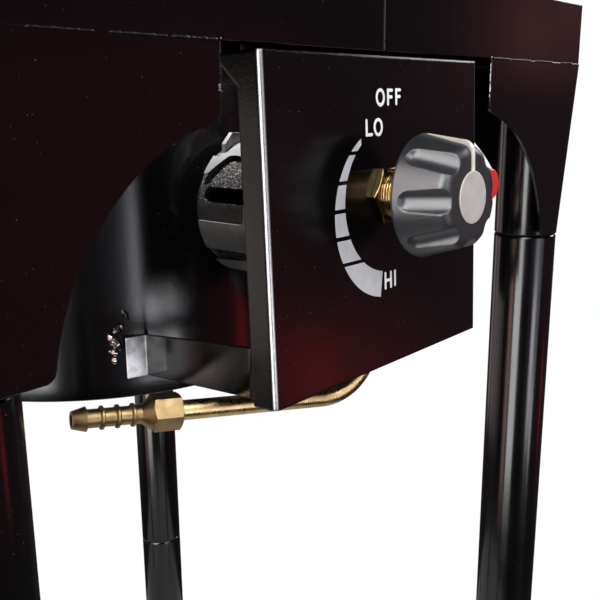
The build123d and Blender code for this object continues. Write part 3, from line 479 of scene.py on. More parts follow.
def ground_strap_with_highlight():
    """Frame coat that is ground off on the tabs, with pale steel there as a painted highlight."""
    material = frame_coat.copy()
    material.name = "ground_strap_with_highlight"
    tree = material.node_tree
    shader = tree.nodes["Principled BSDF"]
    place = axes_of(tree, object_coords(tree))
    flat = add_node(tree, "ShaderNodeCombineXYZ", {"X": place["X"], "Y": place["Y"]}).outputs[0]
    reach = vector_value(tree, "LENGTH", flat)
    near_drum = ranged(tree, reach, TAB_REACH, TAB_REACH + TAB_FADE, 1.0, 0.0)
    facing = add_node(tree, "ShaderNodeTexCoord").outputs["Normal"]
    front = math_node(tree, "MULTIPLY", axes_of(tree, facing)["Y"], -1.0)
    ground = math_node(tree, "MULTIPLY", near_drum, ranged(tree, front, 0.5, 0.7))
    smudge = ranged(tree, noise(tree, 110.0, 4.0), 0.36, 0.6)
    bare_metal_highlight(material, ground, mixed(tree, smudge, *TAB_HIGHLIGHT_GREYS))
    gloss = shader.inputs["Roughness"].links[0].from_socket
    set_inputs(tree, shader, Roughness=ranged(tree, ground, 0.0, 1.0, gloss, TAB_ROUGH))
    return material


# the pale steel on the tab fronts is partly a painted highlight
strap_finish = ground_strap_with_highlight()
print("tabs ground within", TAB_REACH, "m of the drum's axis")

# %% [markdown]
# ## Brass, steel and iron
# The valve and gas line are turned brass: a dull yellow that tarnishes in patches, with fine tool marks. A
# plain yellow metal would look like gold, so noise moves both its colour and its gloss. A tone below one
# stands for darker brass, as on the nut and the hose fitting.

# %% Mix the brass
BRASS_CLEAN = (0.58, 0.42, 0.21)
BRASS_TARNISHED = (0.42, 0.28, 0.12)


def toned(colour, tone):
    return (*(channel * tone for channel in colour), 1.0)


def turned_brass(name, rough, tone=1.0, edge=0.0004):
    """Brass with a lowest roughness, a tone and an edge radius in metres."""
    material, tree, shader = new_finish(name)
    tarnish = ranged(tree, noise(tree, 120.0, 5.0), 0.35, 0.75)
    colour = mixed(tree, tarnish, toned(BRASS_CLEAN, tone), toned(BRASS_TARNISHED, tone))
    gloss = ranged(tree, noise(tree, 260.0, 3.0), 0.3, 0.7, rough, rough + 0.12)
    marks = noise(tree, 1500.0, 2.0)
    normal = bumped(tree, marks, 0.16, 0.0003, round_edges(tree, edge))
    set_inputs(tree, shader, Base_Color=colour, Metallic=1.0, Roughness=gloss, Normal=normal)
    return material


bright_brass = turned_brass("bright_brass", 0.12)
pipe_brass = turned_brass("pipe_brass", 0.25)
nut_brass = turned_brass("nut_brass", 0.10, 0.5, 0.0009)
dull_brass = turned_brass("dull_brass", 0.38, 0.55)
print("brass mixed")

# %% [markdown]
# The air shutter is plain rolled sheet, cloudy from handling, and the screws are zinc plated. The burner and
# pot grate are iron as it came out of the sand mould: nearly black, with lighter grains where the sand left
# its print. The grains could be sculpted, but they are under a millimetre, so noise at two sizes drives the
# bump and the finer one the colour.

# %% Mix the steel and the iron
IRON_GRAIN = (0.060, 0.056, 0.053, 1.0)


def rolled_steel(name, tone, rough, shine):
    """Sheet steel with a grey tone, a lowest roughness and a share of bare metal."""
    material, tree, shader = new_finish(name)
    clouds = ranged(tree, noise(tree, 160.0, 4.0), 0.3, 0.7)
    colour = mixed(tree, clouds, grey(tone * 0.86), (tone, tone * 0.98, tone * 0.95, 1.0))
    gloss = ranged(tree, clouds, 0.0, 1.0, rough, rough + 0.10)
    grain = noise(tree, 1500.0, 2.0)
    normal = bumped(tree, grain, 0.05, 0.0002, round_edges(tree, 0.0005))
    set_inputs(tree, shader, Base_Color=colour, Metallic=shine, Roughness=gloss, Normal=normal)
    return material


def sand_cast_iron():
    material, tree, shader = new_finish("sand_cast_iron")
    lumps = noise(tree, 170.0, 6.0, rough=0.65)
    grains = noise(tree, 800.0, 2.0)
    colour = mixed(tree, ranged(tree, grains, 0.48, 0.68), grey(0.010), IRON_GRAIN)
    height = math_node(tree, "ADD", lumps, grains)
    normal = bumped(tree, height, 1.0, 0.0012, round_edges(tree, 0.001))
    gloss = ranged(tree, grains, 0.3, 0.7, 0.34, 0.54)
    set_inputs(tree, shader, Base_Color=colour, Roughness=gloss, Specular_IOR_Level=0.4, Normal=normal)
    return material


shutter_steel = rolled_steel("shutter_steel", 0.20, 0.36, 0.72)
plated_steel = rolled_steel("plated_steel", 0.56, 0.32, 1.0)
cast_iron = sand_cast_iron()
print("steel and iron mixed")

# %% [markdown]
# ## Plastic, ceramic, rubber and ink
# The knob is dark grey moulded plastic with a fine spark grain. Its pointer and cap disc are smooth pale
# inlays, the button is glossy red, the electrode's rod is glazed ceramic, the foot caps are matt rubber and
# the dial is printed in pale ink. Each could be a material of its own design, but they differ only in
# numbers, so one function makes them all: a colour that wanders a little, a roughness range and a grain of
# the right size.

# %% Mix the plastics
WANDER = 0.86


def moulded(name, colour, rough, grain_scale, grain, edge=0.0005, shine=0.5):
    """Plastic with a colour, a middle roughness, a grain, an edge radius in metres and a shine."""
    material, tree, shader = new_finish(name)
    wander = ranged(tree, noise(tree, 150.0, 4.0), 0.3, 0.7)
    tone = mixed(tree, wander, toned(colour, 1.0), toned(colour, WANDER))
    texture = noise(tree, grain_scale, 2.0)
    gloss = ranged(tree, texture, 0.3, 0.7, rough - 0.05, rough + 0.06)
    normal = bumped(tree, texture, grain, 0.0002, round_edges(tree, edge))
    set_inputs(tree, shader, Base_Color=tone, Roughness=gloss, Specular_IOR_Level=shine, Normal=normal)
    return material


knob_plastic = moulded("knob_plastic", (0.018, 0.020, 0.024), 0.36, 1500.0, 0.45, 0.0014, 1.0)
bezel_plastic = moulded("bezel_plastic", (0.012, 0.012, 0.013), 0.30, 2400.0, 0.06)
disc_plastic = moulded("disc_plastic", (0.46, 0.42, 0.415), 0.42, 2600.0, 0.05)
cream_plastic = moulded("cream_plastic", (0.80, 0.76, 0.66), 0.36, 2600.0, 0.04)
red_plastic = moulded("red_plastic", (0.62, 0.022, 0.020), 0.22, 1500.0, 0.03)
ceramic = moulded("glazed_ceramic", (0.82, 0.79, 0.72), 0.18, 700.0, 0.05)
foot_rubber = moulded("foot_rubber", (0.022, 0.022, 0.022), 0.68, 1800.0, 0.25)
dial_ink = moulded("dial_ink", (0.50, 0.50, 0.54), 0.45, 1200.0, 0.05, 0.00005)
letter_ink = moulded("letter_ink", (0.90, 0.90, 0.92), 0.45, 1200.0, 0.05, 0.00005)
print("plastics mixed")

# %% [markdown]
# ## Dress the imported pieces
# The pieces whose solids already have the right shape keep them and only change finish. They could be
# dressed one by one, but the record names a material slot for every piece, so one table from slot to finish
# does most of the work and a second one lists the pieces that differ.

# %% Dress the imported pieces
FINISH_OF_SLOT = {
    "black_powder": frame_coat,
    "black_gloss": drum_coat,
    "cast_iron": cast_iron,
    "brass": bright_brass,
    "sheet_steel": shutter_steel,
    "zinc_steel": plated_steel,
    "dark_plastic": knob_plastic,
    "light_plastic": disc_plastic,
    "cream_plastic": cream_plastic,
    "red_plastic": red_plastic,
    "ceramic": ceramic,
    "foot_rubber": foot_rubber,
}
FINISH_OF_PIECE = {
    "panel": panel_coat,
    "strap_left": strap_finish,
    "strap_right": strap_finish,
    "jam_nut": nut_brass,
    "gas_pipe": pipe_brass,
    "hose_union": dull_brass,
    "hose_barb": dull_brass,
    "igniter_body": bezel_plastic,
    "igniter_nut": bezel_plastic,
}


def dress(node, material):
    slots = parts[node].data.materials
    slots.clear()
    slots.append(material)


for subpart in frame["record"]["subparts"]:
    dress(subpart["node"], FINISH_OF_SLOT[subpart["material_slot"]])
for node in parts:
    if "leg" in node:
        dress(node, leg_coat)
for node, finish in FINISH_OF_PIECE.items():
    dress(node, finish)
print(len(parts), "pieces dressed,", len(FINISH_OF_PIECE), "of them by name")

# %% [markdown]
# ## Smooth round pieces
# A packed cylinder is made of flat facets, and mirror-black paint shows every one of them. Smooth shading
# alone would leave the outline angular. The legs, foot caps and drum are therefore turned again, as on a
# lathe: an outline of radius and height is spun round an axis in many steps. Each new piece stands for its
# imported node and rides on the same body.

# %% Set up the lathe
TURN_STEPS = 128
SMOOTH_LIMIT = math.radians(32.0)


def new_piece(name, shape, finish, body):
    """Turns a bmesh into an object that rides on a body of the model."""
    bmesh.ops.recalc_face_normals(shape, faces=shape.faces)
    mesh = bpy.data.meshes.new(name)
    shape.to_mesh(mesh)
    shape.free()
    for face in mesh.polygons:
        face.use_smooth = True
    mesh.set_sharp_from_angle(angle=SMOOTH_LIMIT)
    mesh.materials.append(finish)
    piece = bpy.data.objects.new(name, mesh)
    bpy.context.scene.collection.objects.link(piece)
    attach(piece, body)
    return piece


def turned(shape, outline, place, steps=TURN_STEPS):
    """Spins a closed outline of (radius, height) in millimetres round the Z axis of a place."""
    spokes = []
    on_axis = {}
    for step in range(steps):
        angle = 2 * math.pi * step / steps
        spoke = []
        for index, (radius, height) in enumerate(outline):
            if radius == 0 and index in on_axis:
                spoke.append(on_axis[index])
                continue
            point = Vector((radius * math.cos(angle), radius * math.sin(angle), height)) * MM
            spoke.append(shape.verts.new(place @ point))
            if radius == 0:
                on_axis[index] = spoke[-1]
        spokes.append(spoke)
    for step, here in enumerate(spokes):
        there = spokes[(step + 1) % steps]
        for index in range(len(outline)):
            ahead = (index + 1) % len(outline)
            corners = (here[index], there[index], there[ahead], here[ahead])
            corners = list(dict.fromkeys(corners))
            if len(corners) > 2:
                shape.faces.new(corners)


def rounded(centre_r, centre_z, radius, start, end, steps=4):
    """Points of an arc in the outline plane, angles in degrees from the outward direction."""
    points = []
    for step in range(steps + 1):
        angle = math.radians(start + (end - start) * step / steps)
        points.append((centre_r + radius * math.cos(angle), centre_z + radius * math.sin(angle)))
    return points


print("lathe ready with", TURN_STEPS, "steps")

# %% [markdown]
# Each leg is a stack: a stub welded under the deck, a tube plugged into it, a lower tube plugged into that
# and a rubber cup. Every tube narrows at its top to the spigot that plugs in, under a rounded shoulder that
# catches a ring of light. Four plain cylinders would do from afar, but the shoulders are what shows that the
# legs come apart.

# %% Turn the legs and foot caps
LEG_AT = 225.5
LEG_R = 22.5
LEG_BORE_R = 19.9
LEG_EDGE_R = 0.9
SHOULDER_R = 2.6
SPIGOT_R = 19.5
SPIGOT_BORE_R = 17.0
SPIGOT_LENGTH = 60.0
SPIGOT_BEVEL = (1.0, 2.0)
DECK_UNDER = 797.0
LEG_JOINTS = (638.0, 221.4, 6.0)
FOOT_R = 25.49
FOOT_TOP = 34.0
FOOT_EDGE_R = 3.0
FOOT_BEVEL = 1.0
GROOVE_DEPTH = 0.8
GROOVE_HALF_TOP = 1.2
GROOVE_HALF_FLOOR = 0.5
GROOVE_HEIGHTS = (12.0, 19.0, 26.0)
CORNERS = {"fl": (-1, -1), "fr": (1, -1), "rr": (1, 1), "rl": (-1, 1)}


def stub_outline():
    """Tube from the deck down to the first joint, with a rounded lower rim."""
    bottom = LEG_JOINTS[0]
    lower_rim = rounded(LEG_R - LEG_EDGE_R, bottom + LEG_EDGE_R, LEG_EDGE_R, -90.0, 0.0)
    return [(LEG_BORE_R, bottom), *lower_rim, (LEG_R, DECK_UNDER), (LEG_BORE_R, DECK_UNDER)]


def leg_outline(bottom, top):
    """Tube with a rounded shoulder and a necked spigot that plugs into the tube above."""
    slope = LEG_BORE_R - SPIGOT_BORE_R
    tip = top + SPIGOT_LENGTH
    shoulder = rounded(LEG_R - SHOULDER_R, top - SHOULDER_R, SHOULDER_R, 0.0, 90.0, 6)
    spigot = [(SPIGOT_R, top), (SPIGOT_R, tip - SPIGOT_BEVEL[1])]
    spigot += [(SPIGOT_R - SPIGOT_BEVEL[0], tip), (SPIGOT_BORE_R, tip)]
    neck = [(SPIGOT_BORE_R, top - slope), (LEG_BORE_R, top - 2 * slope)]
    return [(LEG_BORE_R, bottom), (LEG_R, bottom), *shoulder, *spigot, *neck]


def foot_outline():
    """Rubber cup with three shallow grip grooves round it."""
    outline = [(0, 0), *rounded(FOOT_R - FOOT_EDGE_R, FOOT_EDGE_R, FOOT_EDGE_R, -90.0, 0.0)]
    groove_r = FOOT_R - GROOVE_DEPTH
    for middle in GROOVE_HEIGHTS:
        outline += [(FOOT_R, middle - GROOVE_HALF_TOP), (groove_r, middle - GROOVE_HALF_FLOOR)]
        outline += [(groove_r, middle + GROOVE_HALF_FLOOR), (FOOT_R, middle + GROOVE_HALF_TOP)]
    outline += [(FOOT_R, FOOT_TOP - FOOT_BEVEL), (FOOT_R - FOOT_BEVEL, FOOT_TOP), (LEG_R, FOOT_TOP)]
    return outline + [(LEG_R, LEG_JOINTS[2]), (0, LEG_JOINTS[2])]


def turn_leg_set(corner, side_x, side_y):
    """Stub, leg, lower leg and foot cap of one corner."""
    place = Matrix.Translation((side_x * LEG_AT * MM, side_y * LEG_AT * MM, 0))
    upper = leg_outline(LEG_JOINTS[1], LEG_JOINTS[0])
    lower = leg_outline(LEG_JOINTS[2], LEG_JOINTS[1])
    outlines = (
        (f"leg_stub_{corner}", stub_outline(), leg_coat, "stand", "black_powder"),
        (f"leg_{corner}", upper, leg_coat, f"leg_{corner}", "black_powder"),
        (f"lower_leg_{corner}", lower, leg_coat, f"lower_{corner}", "black_powder"),
        (f"foot_{corner}", foot_outline(), foot_rubber, f"lower_{corner}", "foot_rubber"),
    )
    for node, outline, finish, body, slot in outlines:
        shape = bmesh.new()
        turned(shape, outline, place)
        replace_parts(new_piece(f"round_{node}", shape, finish, body), node)


for corner, (side_x, side_y) in CORNERS.items():
    turn_leg_set(corner, side_x, side_y)
print("legs turned, joints at", LEG_JOINTS, "mm")

# %% [markdown]
# The drum is rolled sheet with a folded hem at its lower rim and a hole for the burner's throat. The hole
# could be left out of the mesh point by point, but a boolean modifier cuts it exactly. The result is taken
# from the evaluated object, and both the blank and the cutter are thrown away.

# %% Roll the drum and cut the throat hole
DRUM_R = 140.0
DRUM_BORE_R = 138.0
DRUM_BOTTOM = 566.0
DRUM_EDGE_R = 1.0
DRUM_STEPS = 192
DRUM_ROWS = 10
HEM_TOP = 575.0
HEM_THICK = 2.0
THROAT_HOLE_R = 27.0
CUT_FROM = -160.0
CUT_TO = -80.0
MIXER_Z = 675.5


def drum_outline():
    """Wall with a hem inside its lower rim; rows of points keep the shading round the hole even."""
    step = (DECK_UNDER - HEM_TOP) / DRUM_ROWS
    outside = [(DRUM_R, HEM_TOP + row * step) for row in range(DRUM_ROWS + 1)]
    inside = [(DRUM_BORE_R, height) for radius, height in reversed(outside)]
    lower_rim = rounded(DRUM_R - DRUM_EDGE_R, DRUM_BOTTOM + DRUM_EDGE_R, DRUM_EDGE_R, -90.0, 0.0)
    hem_r = DRUM_BORE_R - HEM_THICK
    return [(hem_r, DRUM_BOTTOM), *lower_rim, *outside, *inside, (hem_r, HEM_TOP - HEM_THICK)]


def plain_object(name, shape):
    """Object for a modifier to work on, not part of the stove."""
    mesh = bpy.data.meshes.new(name)
    bmesh.ops.recalc_face_normals(shape, faces=shape.faces)
    shape.to_mesh(mesh)
    shape.free()
    item = bpy.data.objects.new(name, mesh)
    bpy.context.scene.collection.objects.link(item)
    return item


def roll_drum():
    blank_shape = bmesh.new()
    turned(blank_shape, drum_outline(), Matrix.Identity(4), DRUM_STEPS)
    blank = plain_object("drum_blank", blank_shape)
    along_y = Matrix.Translation((0, 0, MIXER_Z * MM)) @ Matrix.Rotation(math.radians(-90), 4, "X")
    pin_outline = [(0, CUT_FROM), (THROAT_HOLE_R, CUT_FROM), (THROAT_HOLE_R, CUT_TO), (0, CUT_TO)]
    cutter_shape = bmesh.new()
    turned(cutter_shape, pin_outline, along_y)
    cutter = plain_object("throat_cutter", cutter_shape)
    cut = blank.modifiers.new("throat_hole", "BOOLEAN")
    cut.object = cutter
    cut.solver = "EXACT"
    drum_shape = bmesh.new()
    drum_shape.from_object(blank, bpy.context.evaluated_depsgraph_get())
    for item in (blank, cutter):
        bpy.data.meshes.remove(item.data)
    return drum_shape


drum_shape = roll_drum()
print("drum rolled with", len(drum_shape.faces), "faces")
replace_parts(new_piece("rolled_drum", drum_shape, drum_coat, "stand"), "drum")

# %% [markdown]
# ## Weld beads
# The frame is welded and then coated, so each bead is a small lumpy ridge under black paint. A bump in the
# material would vanish at the outline and in the exported mesh, so a bead is real geometry: a tube along a
# path, half sunk into the sheet, whose thickness swells and shrinks and whose ends taper.

# %% Set up the bead
BEAD_SIDES = 8
BEAD_STEP = 0.9
LONG_RIPPLE = 7.7
LONG_SHARE = 0.6
TAPER_START = 0.4
TAPER_RINGS = 2.4


def spaced(path, step):
    """Points along a polyline at about equal distances, in millimetres."""
    points = [Vector(point) for point in path]
    spread = []
    for here, there in zip(points, points[1:]):
        count = max(1, round((there - here).length / step))
        spread += [here.lerp(there, index / count) for index in range(count)]
    return spread + [points[-1]]


def bead_ring(centre, along, radius):
    """Ring of points round a path's direction."""
    aside = along.orthogonal().normalized()
    over = along.cross(aside)
    ring = []
    for side in range(BEAD_SIDES):
        angle = 2 * math.pi * side / BEAD_SIDES
        ring.append((centre + radius * (math.cos(angle) * aside + math.sin(angle) * over)) * MM)
    return ring


def lay_bead(shape, path, radius, swell=0.25, ripple=3.1):
    """Adds a lumpy tube along a path of millimetre points, thinner at its ends."""
    points = spaced(path, BEAD_STEP)
    rings = []
    for index, centre in enumerate(points):
        before = points[max(index - 1, 0)]
        after = points[min(index + 1, len(points) - 1)]
        along = (after - before).normalized()
        run = index * BEAD_STEP
        short_wave = math.sin(2 * math.pi * run / ripple)
        long_wave = math.sin(2 * math.pi * run / LONG_RIPPLE + 1)
        lumps = 1 + swell * short_wave + LONG_SHARE * swell * long_wave
        end = min(index, len(points) - 1 - index)
        taper = math.sqrt(min(1.0, (end + TAPER_START) / TAPER_RINGS))
        ring = bead_ring(centre, along, radius * lumps * taper)
        rings.append([shape.verts.new(point) for point in ring])
    for here, there in zip(rings, rings[1:]):
        for side in range(BEAD_SIDES):
            ahead = (side + 1) % BEAD_SIDES
            shape.faces.new((here[side], here[ahead], there[ahead], there[side]))
    shape.faces.new(rings[0])
    shape.faces.new(rings[-1])


print("bead ready, a ring every", BEAD_STEP, "mm")

# %% [markdown]
# Eight arched gusset plates stiffen the frame, two on each side. Dull stitches hold them along the joint
# with the band, and small glossy beads sit on their inner edges. Each plate could have beads of its own,
# but the frame is made four times the same way, so the beads of one plate are written down once, then
# mirrored about the middle and turned by quarters.

# %% Stitch the gussets to the band
STITCH_Y = -249.7
STITCH_Z = 759.9
GUSSET_STITCHES = (
    # start and end from the middle of the side, radius
    (115.0, 139.0, 0.85),
    (141.0, 168.0, 0.7),
    (174.0, 201.0, 0.7),
    (214.0, 236.0, 0.65),
)
GUSSET_EDGE_BEADS = (
    # points, radius, swell
    (((114.4, -249.3, 757.0), (114.4, -249.3, 746.0), (114.4, -249.3, 735.0)), 0.55, 0.35),
    (((114.6, -249.4, 743.5), (114.6, -249.4, 741.0), (114.6, -249.4, 738.5)), 1.0, 0.2),
    (((112.6, -249.2, 760.2), (114.4, -249.2, 760.2), (116.4, -249.2, 760.2)), 1.1, 0.2),
)


def every_gusset():
    """Side of the middle and quarter turn of each of the eight gussets."""
    turns = [Matrix.Rotation(math.radians(90 * quarter), 3, "Z") for quarter in range(4)]
    return [(side, turn) for side in (-1, 1) for turn in turns]


def gusset_stitches():
    """Stitches along the joint of each gusset and the band."""
    shape = bmesh.new()
    for side, turn in every_gusset():
        for start, end, radius in GUSSET_STITCHES:
            stations = (start, (start + end) / 2, end)
            lay_bead(shape, [turn @ Vector((side * x, STITCH_Y, STITCH_Z)) for x in stations], radius)
    return shape


def gusset_edge_beads():
    """Thin bead, dab and nub on the inner edge of each gusset."""
    shape = bmesh.new()
    for side, turn in every_gusset():
        for points, radius, swell in GUSSET_EDGE_BEADS:
            lay_bead(shape, [turn @ Vector((side * x, y, z)) for x, y, z in points], radius, swell)
    return shape


new_piece("gusset_stitches", gusset_stitches(), stitch_coat, "stand")
new_piece("gusset_edge_beads", gusset_edge_beads(), bead_coat, "stand")
print(len(every_gusset()), "gussets, each with", len(GUSSET_STITCHES), "stitches")

# %% [markdown]
# Under the deck a bead runs nearly all the way round each leg stub, and eight short stitches hold the drum.
# A torus would close on itself, but a real bead starts and stops. These beads follow arcs instead of
# straight lines, so one helper gives the points of an arc.

# %% Weld the stubs and the drum to the deck
DECK_BEAD_Z = 796.4
STUB_BEAD_R = 1.6
STUB_BEAD_OUT = 0.4
STUB_BEAD_ARC = (0, 340)
DRUM_STITCH_R = 1.7
DRUM_STITCH_OUT = 0.3
DRUM_STITCH_ARC = 14
DRUM_STITCHES = range(10, 370, 45)


def ring_path(centre_x, centre_y, radius, height, start, end, steps=24):
    """Arc of points round a vertical axis, angles in degrees."""
    path = []
    for step in range(steps + 1):
        angle = math.radians(start + (end - start) * step / steps)
        path.append((centre_x + radius * math.cos(angle), centre_y + radius * math.sin(angle), height))
    return path


def deck_beads():
    """Beads under the deck: round the leg stubs, and stitches round the drum."""
    shape = bmesh.new()
    for side_x, side_y in CORNERS.values():
        reach = LEG_R + STUB_BEAD_OUT
        ring = ring_path(side_x * LEG_AT, side_y * LEG_AT, reach, DECK_BEAD_Z, *STUB_BEAD_ARC)
        lay_bead(shape, ring, STUB_BEAD_R)
    for start in DRUM_STITCHES:
        reach = DRUM_R + DRUM_STITCH_OUT
        arc = ring_path(0, 0, reach, DECK_BEAD_Z, start, start + DRUM_STITCH_ARC)
        lay_bead(shape, arc, DRUM_STITCH_R)
    return shape


new_piece("deck_welds", deck_beads(), frame_coat, "stand")
print(len(CORNERS), "stub beads and", len(DRUM_STITCHES), "drum stitches laid")

# %% [markdown]
# The tack weld beside the left strap's tab spattered: a crooked string of drops hangs on the drum there.
# Scattered spheres would look too tidy, so a few short beads with a longer ripple make the drops. Each
# follows points given by distance round the drum and by height, and has a radius of its own.

# %% Drip the strap welds
DROPS_ANGLE = 241.3
DROPS_Z = 595.0
DROP_OUT = 0.7
DROP_SWELL = 0.28
DROP_RIPPLE = 5.6
STRAP_DROPS = (
    # radius, points by distance round the drum and height
    (2.9, ((-5.0, 21.0), (-3.6, 22.0), (-2.2, 22.8))),
    (1.3, ((-5.8, 16.5), (-6.5, 13.7))),
    (
        2.3,
        ((-8.3, 14.8), (-10.0, 12.0), (-11.6, 10.2), (-12.0, 8.3), (-9.9, 5.8), (-8.5, 3.1), (-7.9, 0.7)),
    ),
    (1.9, ((-11.7, 6.6), (-10.5, 2.6), (-11.4, -2.2), (-11.5, -5.2), (-11.4, -7.4))),
    (1.3, ((-13.8, 1.1), (-13.8, 0.1))),
)


def drum_point(along, height):
    """Point just outside the drum's wall, by millimetres round it and up from the drops' place."""
    angle = math.radians(DROPS_ANGLE) + along / DRUM_R
    reach = DRUM_R + DROP_OUT
    return Vector((reach * math.cos(angle), reach * math.sin(angle), DROPS_Z + height))


def strap_drops():
    shape = bmesh.new()
    for radius, run in STRAP_DROPS:
        path = [drum_point(along, height) for along, height in run]
        lay_bead(shape, path, radius, DROP_SWELL, DROP_RIPPLE)
    return shape


new_piece("strap_weld_drops", strap_drops(), drop_coat, "stand")
print(len(STRAP_DROPS), "runs of drops laid")

# %% [markdown]
# ## Print on the panel
# The dial is screen printed: six wedges between two circles whose centres do not meet, so the band widens
# from LO to HI. It could be an image on the panel, but thin slabs stay sharp at any distance and need no
# file. Each mark is a slab of ink, a tenth of a millimetre proud, in the panel's own frame.

# %% Print the dial
PANEL_TURN = Matrix((PANEL_RIGHT, PANEL_UP, PANEL_OUT)).transposed().to_4x4()
PANEL_PLACE = Matrix.Translation(PANEL_AT) @ PANEL_TURN
INK_ROOT = -0.05
INK_TOP = 0.10
INNER_CIRCLE = (0.17, 8.08, 36.86)
OUTER_CIRCLE = (-0.69, 1.80, 44.13)
WEDGE_CUTS = (
    # top and bottom height on the outer circle, then on the inner one
    (40.2, 34.45, 37.3, 34.45),
    (32.70, 20.75, 32.70, 20.75),
    (18.85, 7.36, 18.85, 7.36),
    (5.33, -6.00, 5.33, -6.00),
    (-8.15, -19.30, -8.15, -19.30),
    (-21.20, -41.70, -21.20, -28.25),
)


def ink_slab(shape, outline):
    """Closed slab of ink from an outline of panel points."""
    lower = [shape.verts.new(PANEL_PLACE @ (Vector((x, y, INK_ROOT)) * MM)) for x, y in outline]
    upper = [shape.verts.new(PANEL_PLACE @ (Vector((x, y, INK_TOP)) * MM)) for x, y in outline]
    shape.faces.new(lower)
    shape.faces.new(upper)
    for index in range(len(outline)):
        ahead = (index + 1) % len(outline)
        shape.faces.new((lower[index], lower[ahead], upper[ahead], upper[index]))


def left_of(circle, height):
    """Point on the left half of a circle at a height."""
    centre_x, centre_y, radius = circle
    return (centre_x - math.sqrt(radius**2 - (height - centre_y) ** 2), height)


def arc_down(circle, top, bottom, steps=14):
    return [left_of(circle, top + (bottom - top) * step / steps) for step in range(steps + 1)]


def print_wedges():
    shape = bmesh.new()
    for outer_top, outer_bottom, inner_top, inner_bottom in WEDGE_CUTS:
        outer = arc_down(OUTER_CIRCLE, outer_top, outer_bottom)
        inner = arc_down(INNER_CIRCLE, inner_top, inner_bottom)
        ink_slab(shape, outer + inner[::-1])
    return shape


new_piece("dial_wedges", print_wedges(), dial_ink, "stand")
print(len(WEDGE_CUTS), "wedges printed")

# %% [markdown]
# The words are plain capitals in strokes of one width with round ends. A text object would bring Blender's
# own font, whose letters have other shapes, and the strokes are few, so they are drawn. A stroke follows a
# line of points. Its two sides are that line moved half a stroke width to the left and right, mitred at
# corners, with a half circle at each open end.

# %% Set up the pen
# half the width of a stroke, and the least share of it that a mitre may divide by
STROKE = 0.8
MITRE_LIMIT = 0.3


def stroke_sides(points):
    """Left and right side of a stroke, mitred where it turns."""
    left = []
    right = []
    for index, point in enumerate(points):
        before = points[max(index - 1, 0)]
        after = points[min(index + 1, len(points) - 1)]
        into = (point - before).normalized() if index else (after - point).normalized()
        out_of = (after - point).normalized() if index < len(points) - 1 else into
        middle = (into + out_of).normalized()
        aside = Vector((-middle.y, middle.x)) * STROKE / max(middle.dot(into), MITRE_LIMIT)
        left.append(point + aside)
        right.append(point - aside)
    return left, right


def round_end(centre, along, steps=6):
    """Half circle from the left side round to the right side of a stroke's end."""
    heading = math.atan2(along.y, along.x)
    angles = [heading + math.pi / 2 - math.pi * step / steps for step in range(1, steps)]
    return [centre + Vector((math.cos(angle), math.sin(angle))) * STROKE for angle in angles]


def open_stroke(shape, line, square_start=False):
    """Stroke with round ends; a square start butts against another stroke."""
    points = [Vector(point) for point in line]
    left, right = stroke_sides(points)
    finish_end = round_end(points[-1], points[-1] - points[-2])
    start_end = [] if square_start else round_end(points[0], points[0] - points[1])
    ink_slab(shape, [tuple(p) for p in left + finish_end + right[::-1] + start_end])


print("pen ready, stroke width", 2 * STROKE, "mm")

# %% [markdown]
# OFF, LO and HI need five letters. L and I are one stroke each. F and H are built from pieces that butt
# against each other, because two slabs of ink in one place would flicker. O is an oval ring, because a
# stroke that closes on itself has no ends.

# %% Print the words
F_TOP_ARM = 3.6
F_LOWER_ARM = 3.2
F_ARM_DROP = 3.3
H_WIDTH = 5.1


def letter_o(shape, centre_x, centre_y, half_width, half_height, steps=32):
    """Oval ring of ink, in four-sided pieces."""
    rings = []
    for level in (INK_ROOT, INK_TOP):
        for growth in (-STROKE, STROKE):
            ring = []
            for step in range(steps):
                angle = 2 * math.pi * step / steps
                x = centre_x + (half_width + growth) * math.cos(angle)
                y = centre_y + (half_height + growth) * math.sin(angle)
                ring.append(shape.verts.new(PANEL_PLACE @ (Vector((x, y, level)) * MM)))
            rings.append(ring)
    low_inner, low_outer, top_inner, top_outer = rings
    loop = (low_inner, low_outer, top_outer, top_inner, low_inner)
    for first, second in zip(loop, loop[1:]):
        for step in range(steps):
            ahead = (step + 1) % steps
            shape.faces.new((first[step], first[ahead], second[ahead], second[step]))


def letter_f(shape, stem, bottom, top):
    open_stroke(shape, [(stem + F_TOP_ARM, top), (stem, top), (stem, bottom)])
    arm = top - F_ARM_DROP
    open_stroke(shape, [(stem + STROKE, arm), (stem + F_LOWER_ARM, arm)], square_start=True)


def letter_h(shape, stem, bottom, top):
    open_stroke(shape, [(stem, top), (stem, bottom)])
    open_stroke(shape, [(stem + H_WIDTH, top), (stem + H_WIDTH, bottom)])
    middle = (top + bottom) / 2
    across = [(stem + STROKE, middle - STROKE), (stem + H_WIDTH - STROKE, middle - STROKE)]
    across += [(x, y + 2 * STROKE) for x, y in reversed(across)]
    ink_slab(shape, across)


def print_words():
    shape = bmesh.new()
    letter_o(shape, -5.45, 59.9, 3.1, 3.65)
    letter_f(shape, 1.3, 56.5, 63.4)
    letter_f(shape, 8.7, 56.7, 63.6)
    open_stroke(shape, [(-17.6, 48.8), (-17.6, 41.9), (-13.2, 41.9)])
    letter_o(shape, -7.7, 45.4, 3.15, 3.7)
    letter_h(shape, -3.5, -37.9, -30.0)
    open_stroke(shape, [(5.4, -30.0), (5.4, -37.6)])
    return shape


new_piece("dial_words", print_words(), letter_ink, "stand")
print("words printed: OFF, LO, HI")

# %% [markdown]
# ## Thread and rim
# Between the jam nut and the knob the valve's neck shows its thread, a ridge that climbs in a helix. A screw
# modifier could spin it too, but stepping a small profile along the helix lets the ridge run out at both
# ends as a cut thread does. The knob's cap disc sits in a thin pale rim. Both are small, but each catches a
# line of light that the eye expects.

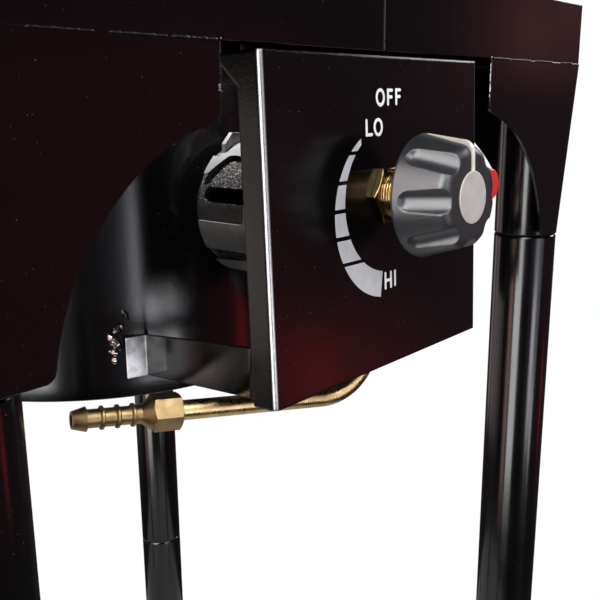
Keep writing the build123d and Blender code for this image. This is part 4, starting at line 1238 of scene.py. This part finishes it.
# %% Cut the thread and set the rim
VALVE_UP = 11.0
VALVE_PLACE = PANEL_PLACE @ Matrix.Translation((0.0, VALVE_UP * MM, 0.0))
THREAD_ROOT_R = 11.35
THREAD_TOP_R = 11.95
THREAD_PITCH = 1.6
THREAD_FROM = 4.6
THREAD_TO = 21.6
ROOT_HALF = 0.7
CREST_HALF = 0.12
RUN_OUT_STEPS = 8
CAP_R = 12.3
CAP_FACE = 49.5
RIM_R = 0.35
RIM_SINK = 0.36


def helix_point(radius, turn, height):
    return VALVE_PLACE @ (Vector((radius * math.cos(turn), radius * math.sin(turn), height)) * MM)


def cut_thread(steps_per_turn=48):
    """Ridge climbing round the neck, lower at its two ends."""
    shape = bmesh.new()
    turns = (THREAD_TO - THREAD_FROM) / THREAD_PITCH
    steps = round(turns * steps_per_turn)
    profiles = []
    for step in range(steps + 1):
        turn = 2 * math.pi * step / steps_per_turn
        height = THREAD_FROM + THREAD_PITCH * step / steps_per_turn
        run_out = min(1.0, (min(step, steps - step) + 1) / RUN_OUT_STEPS)
        crest = THREAD_ROOT_R + (THREAD_TOP_R - THREAD_ROOT_R) * run_out
        corners = (
            (THREAD_ROOT_R, height - ROOT_HALF),
            (crest, height - CREST_HALF),
            (crest, height + CREST_HALF),
            (THREAD_ROOT_R, height + ROOT_HALF),
        )
        profiles.append([shape.verts.new(helix_point(radius, turn, level)) for radius, level in corners])
    for here, there in zip(profiles, profiles[1:]):
        for index in range(4):
            ahead = (index + 1) % 4
            shape.faces.new((here[index], here[ahead], there[ahead], there[index]))
    shape.faces.new(profiles[0])
    shape.faces.new(profiles[-1])
    return shape


def cap_rim():
    shape = bmesh.new()
    turned(shape, rounded(CAP_R, CAP_FACE - RIM_SINK, RIM_R, 0.0, 315.0, 7), VALVE_PLACE)
    return shape


new_piece("neck_thread", cut_thread(), bright_brass, "stand")
new_piece("knob_cap_rim", cap_rim(), cream_plastic, "knob_group")
print("thread cut with pitch", THREAD_PITCH, "mm, rim set")

# %% [markdown]
# ## Last lines
# Last, the colour view is set to Standard.


bpy.context.scene.view_settings.view_transform = "Standard"
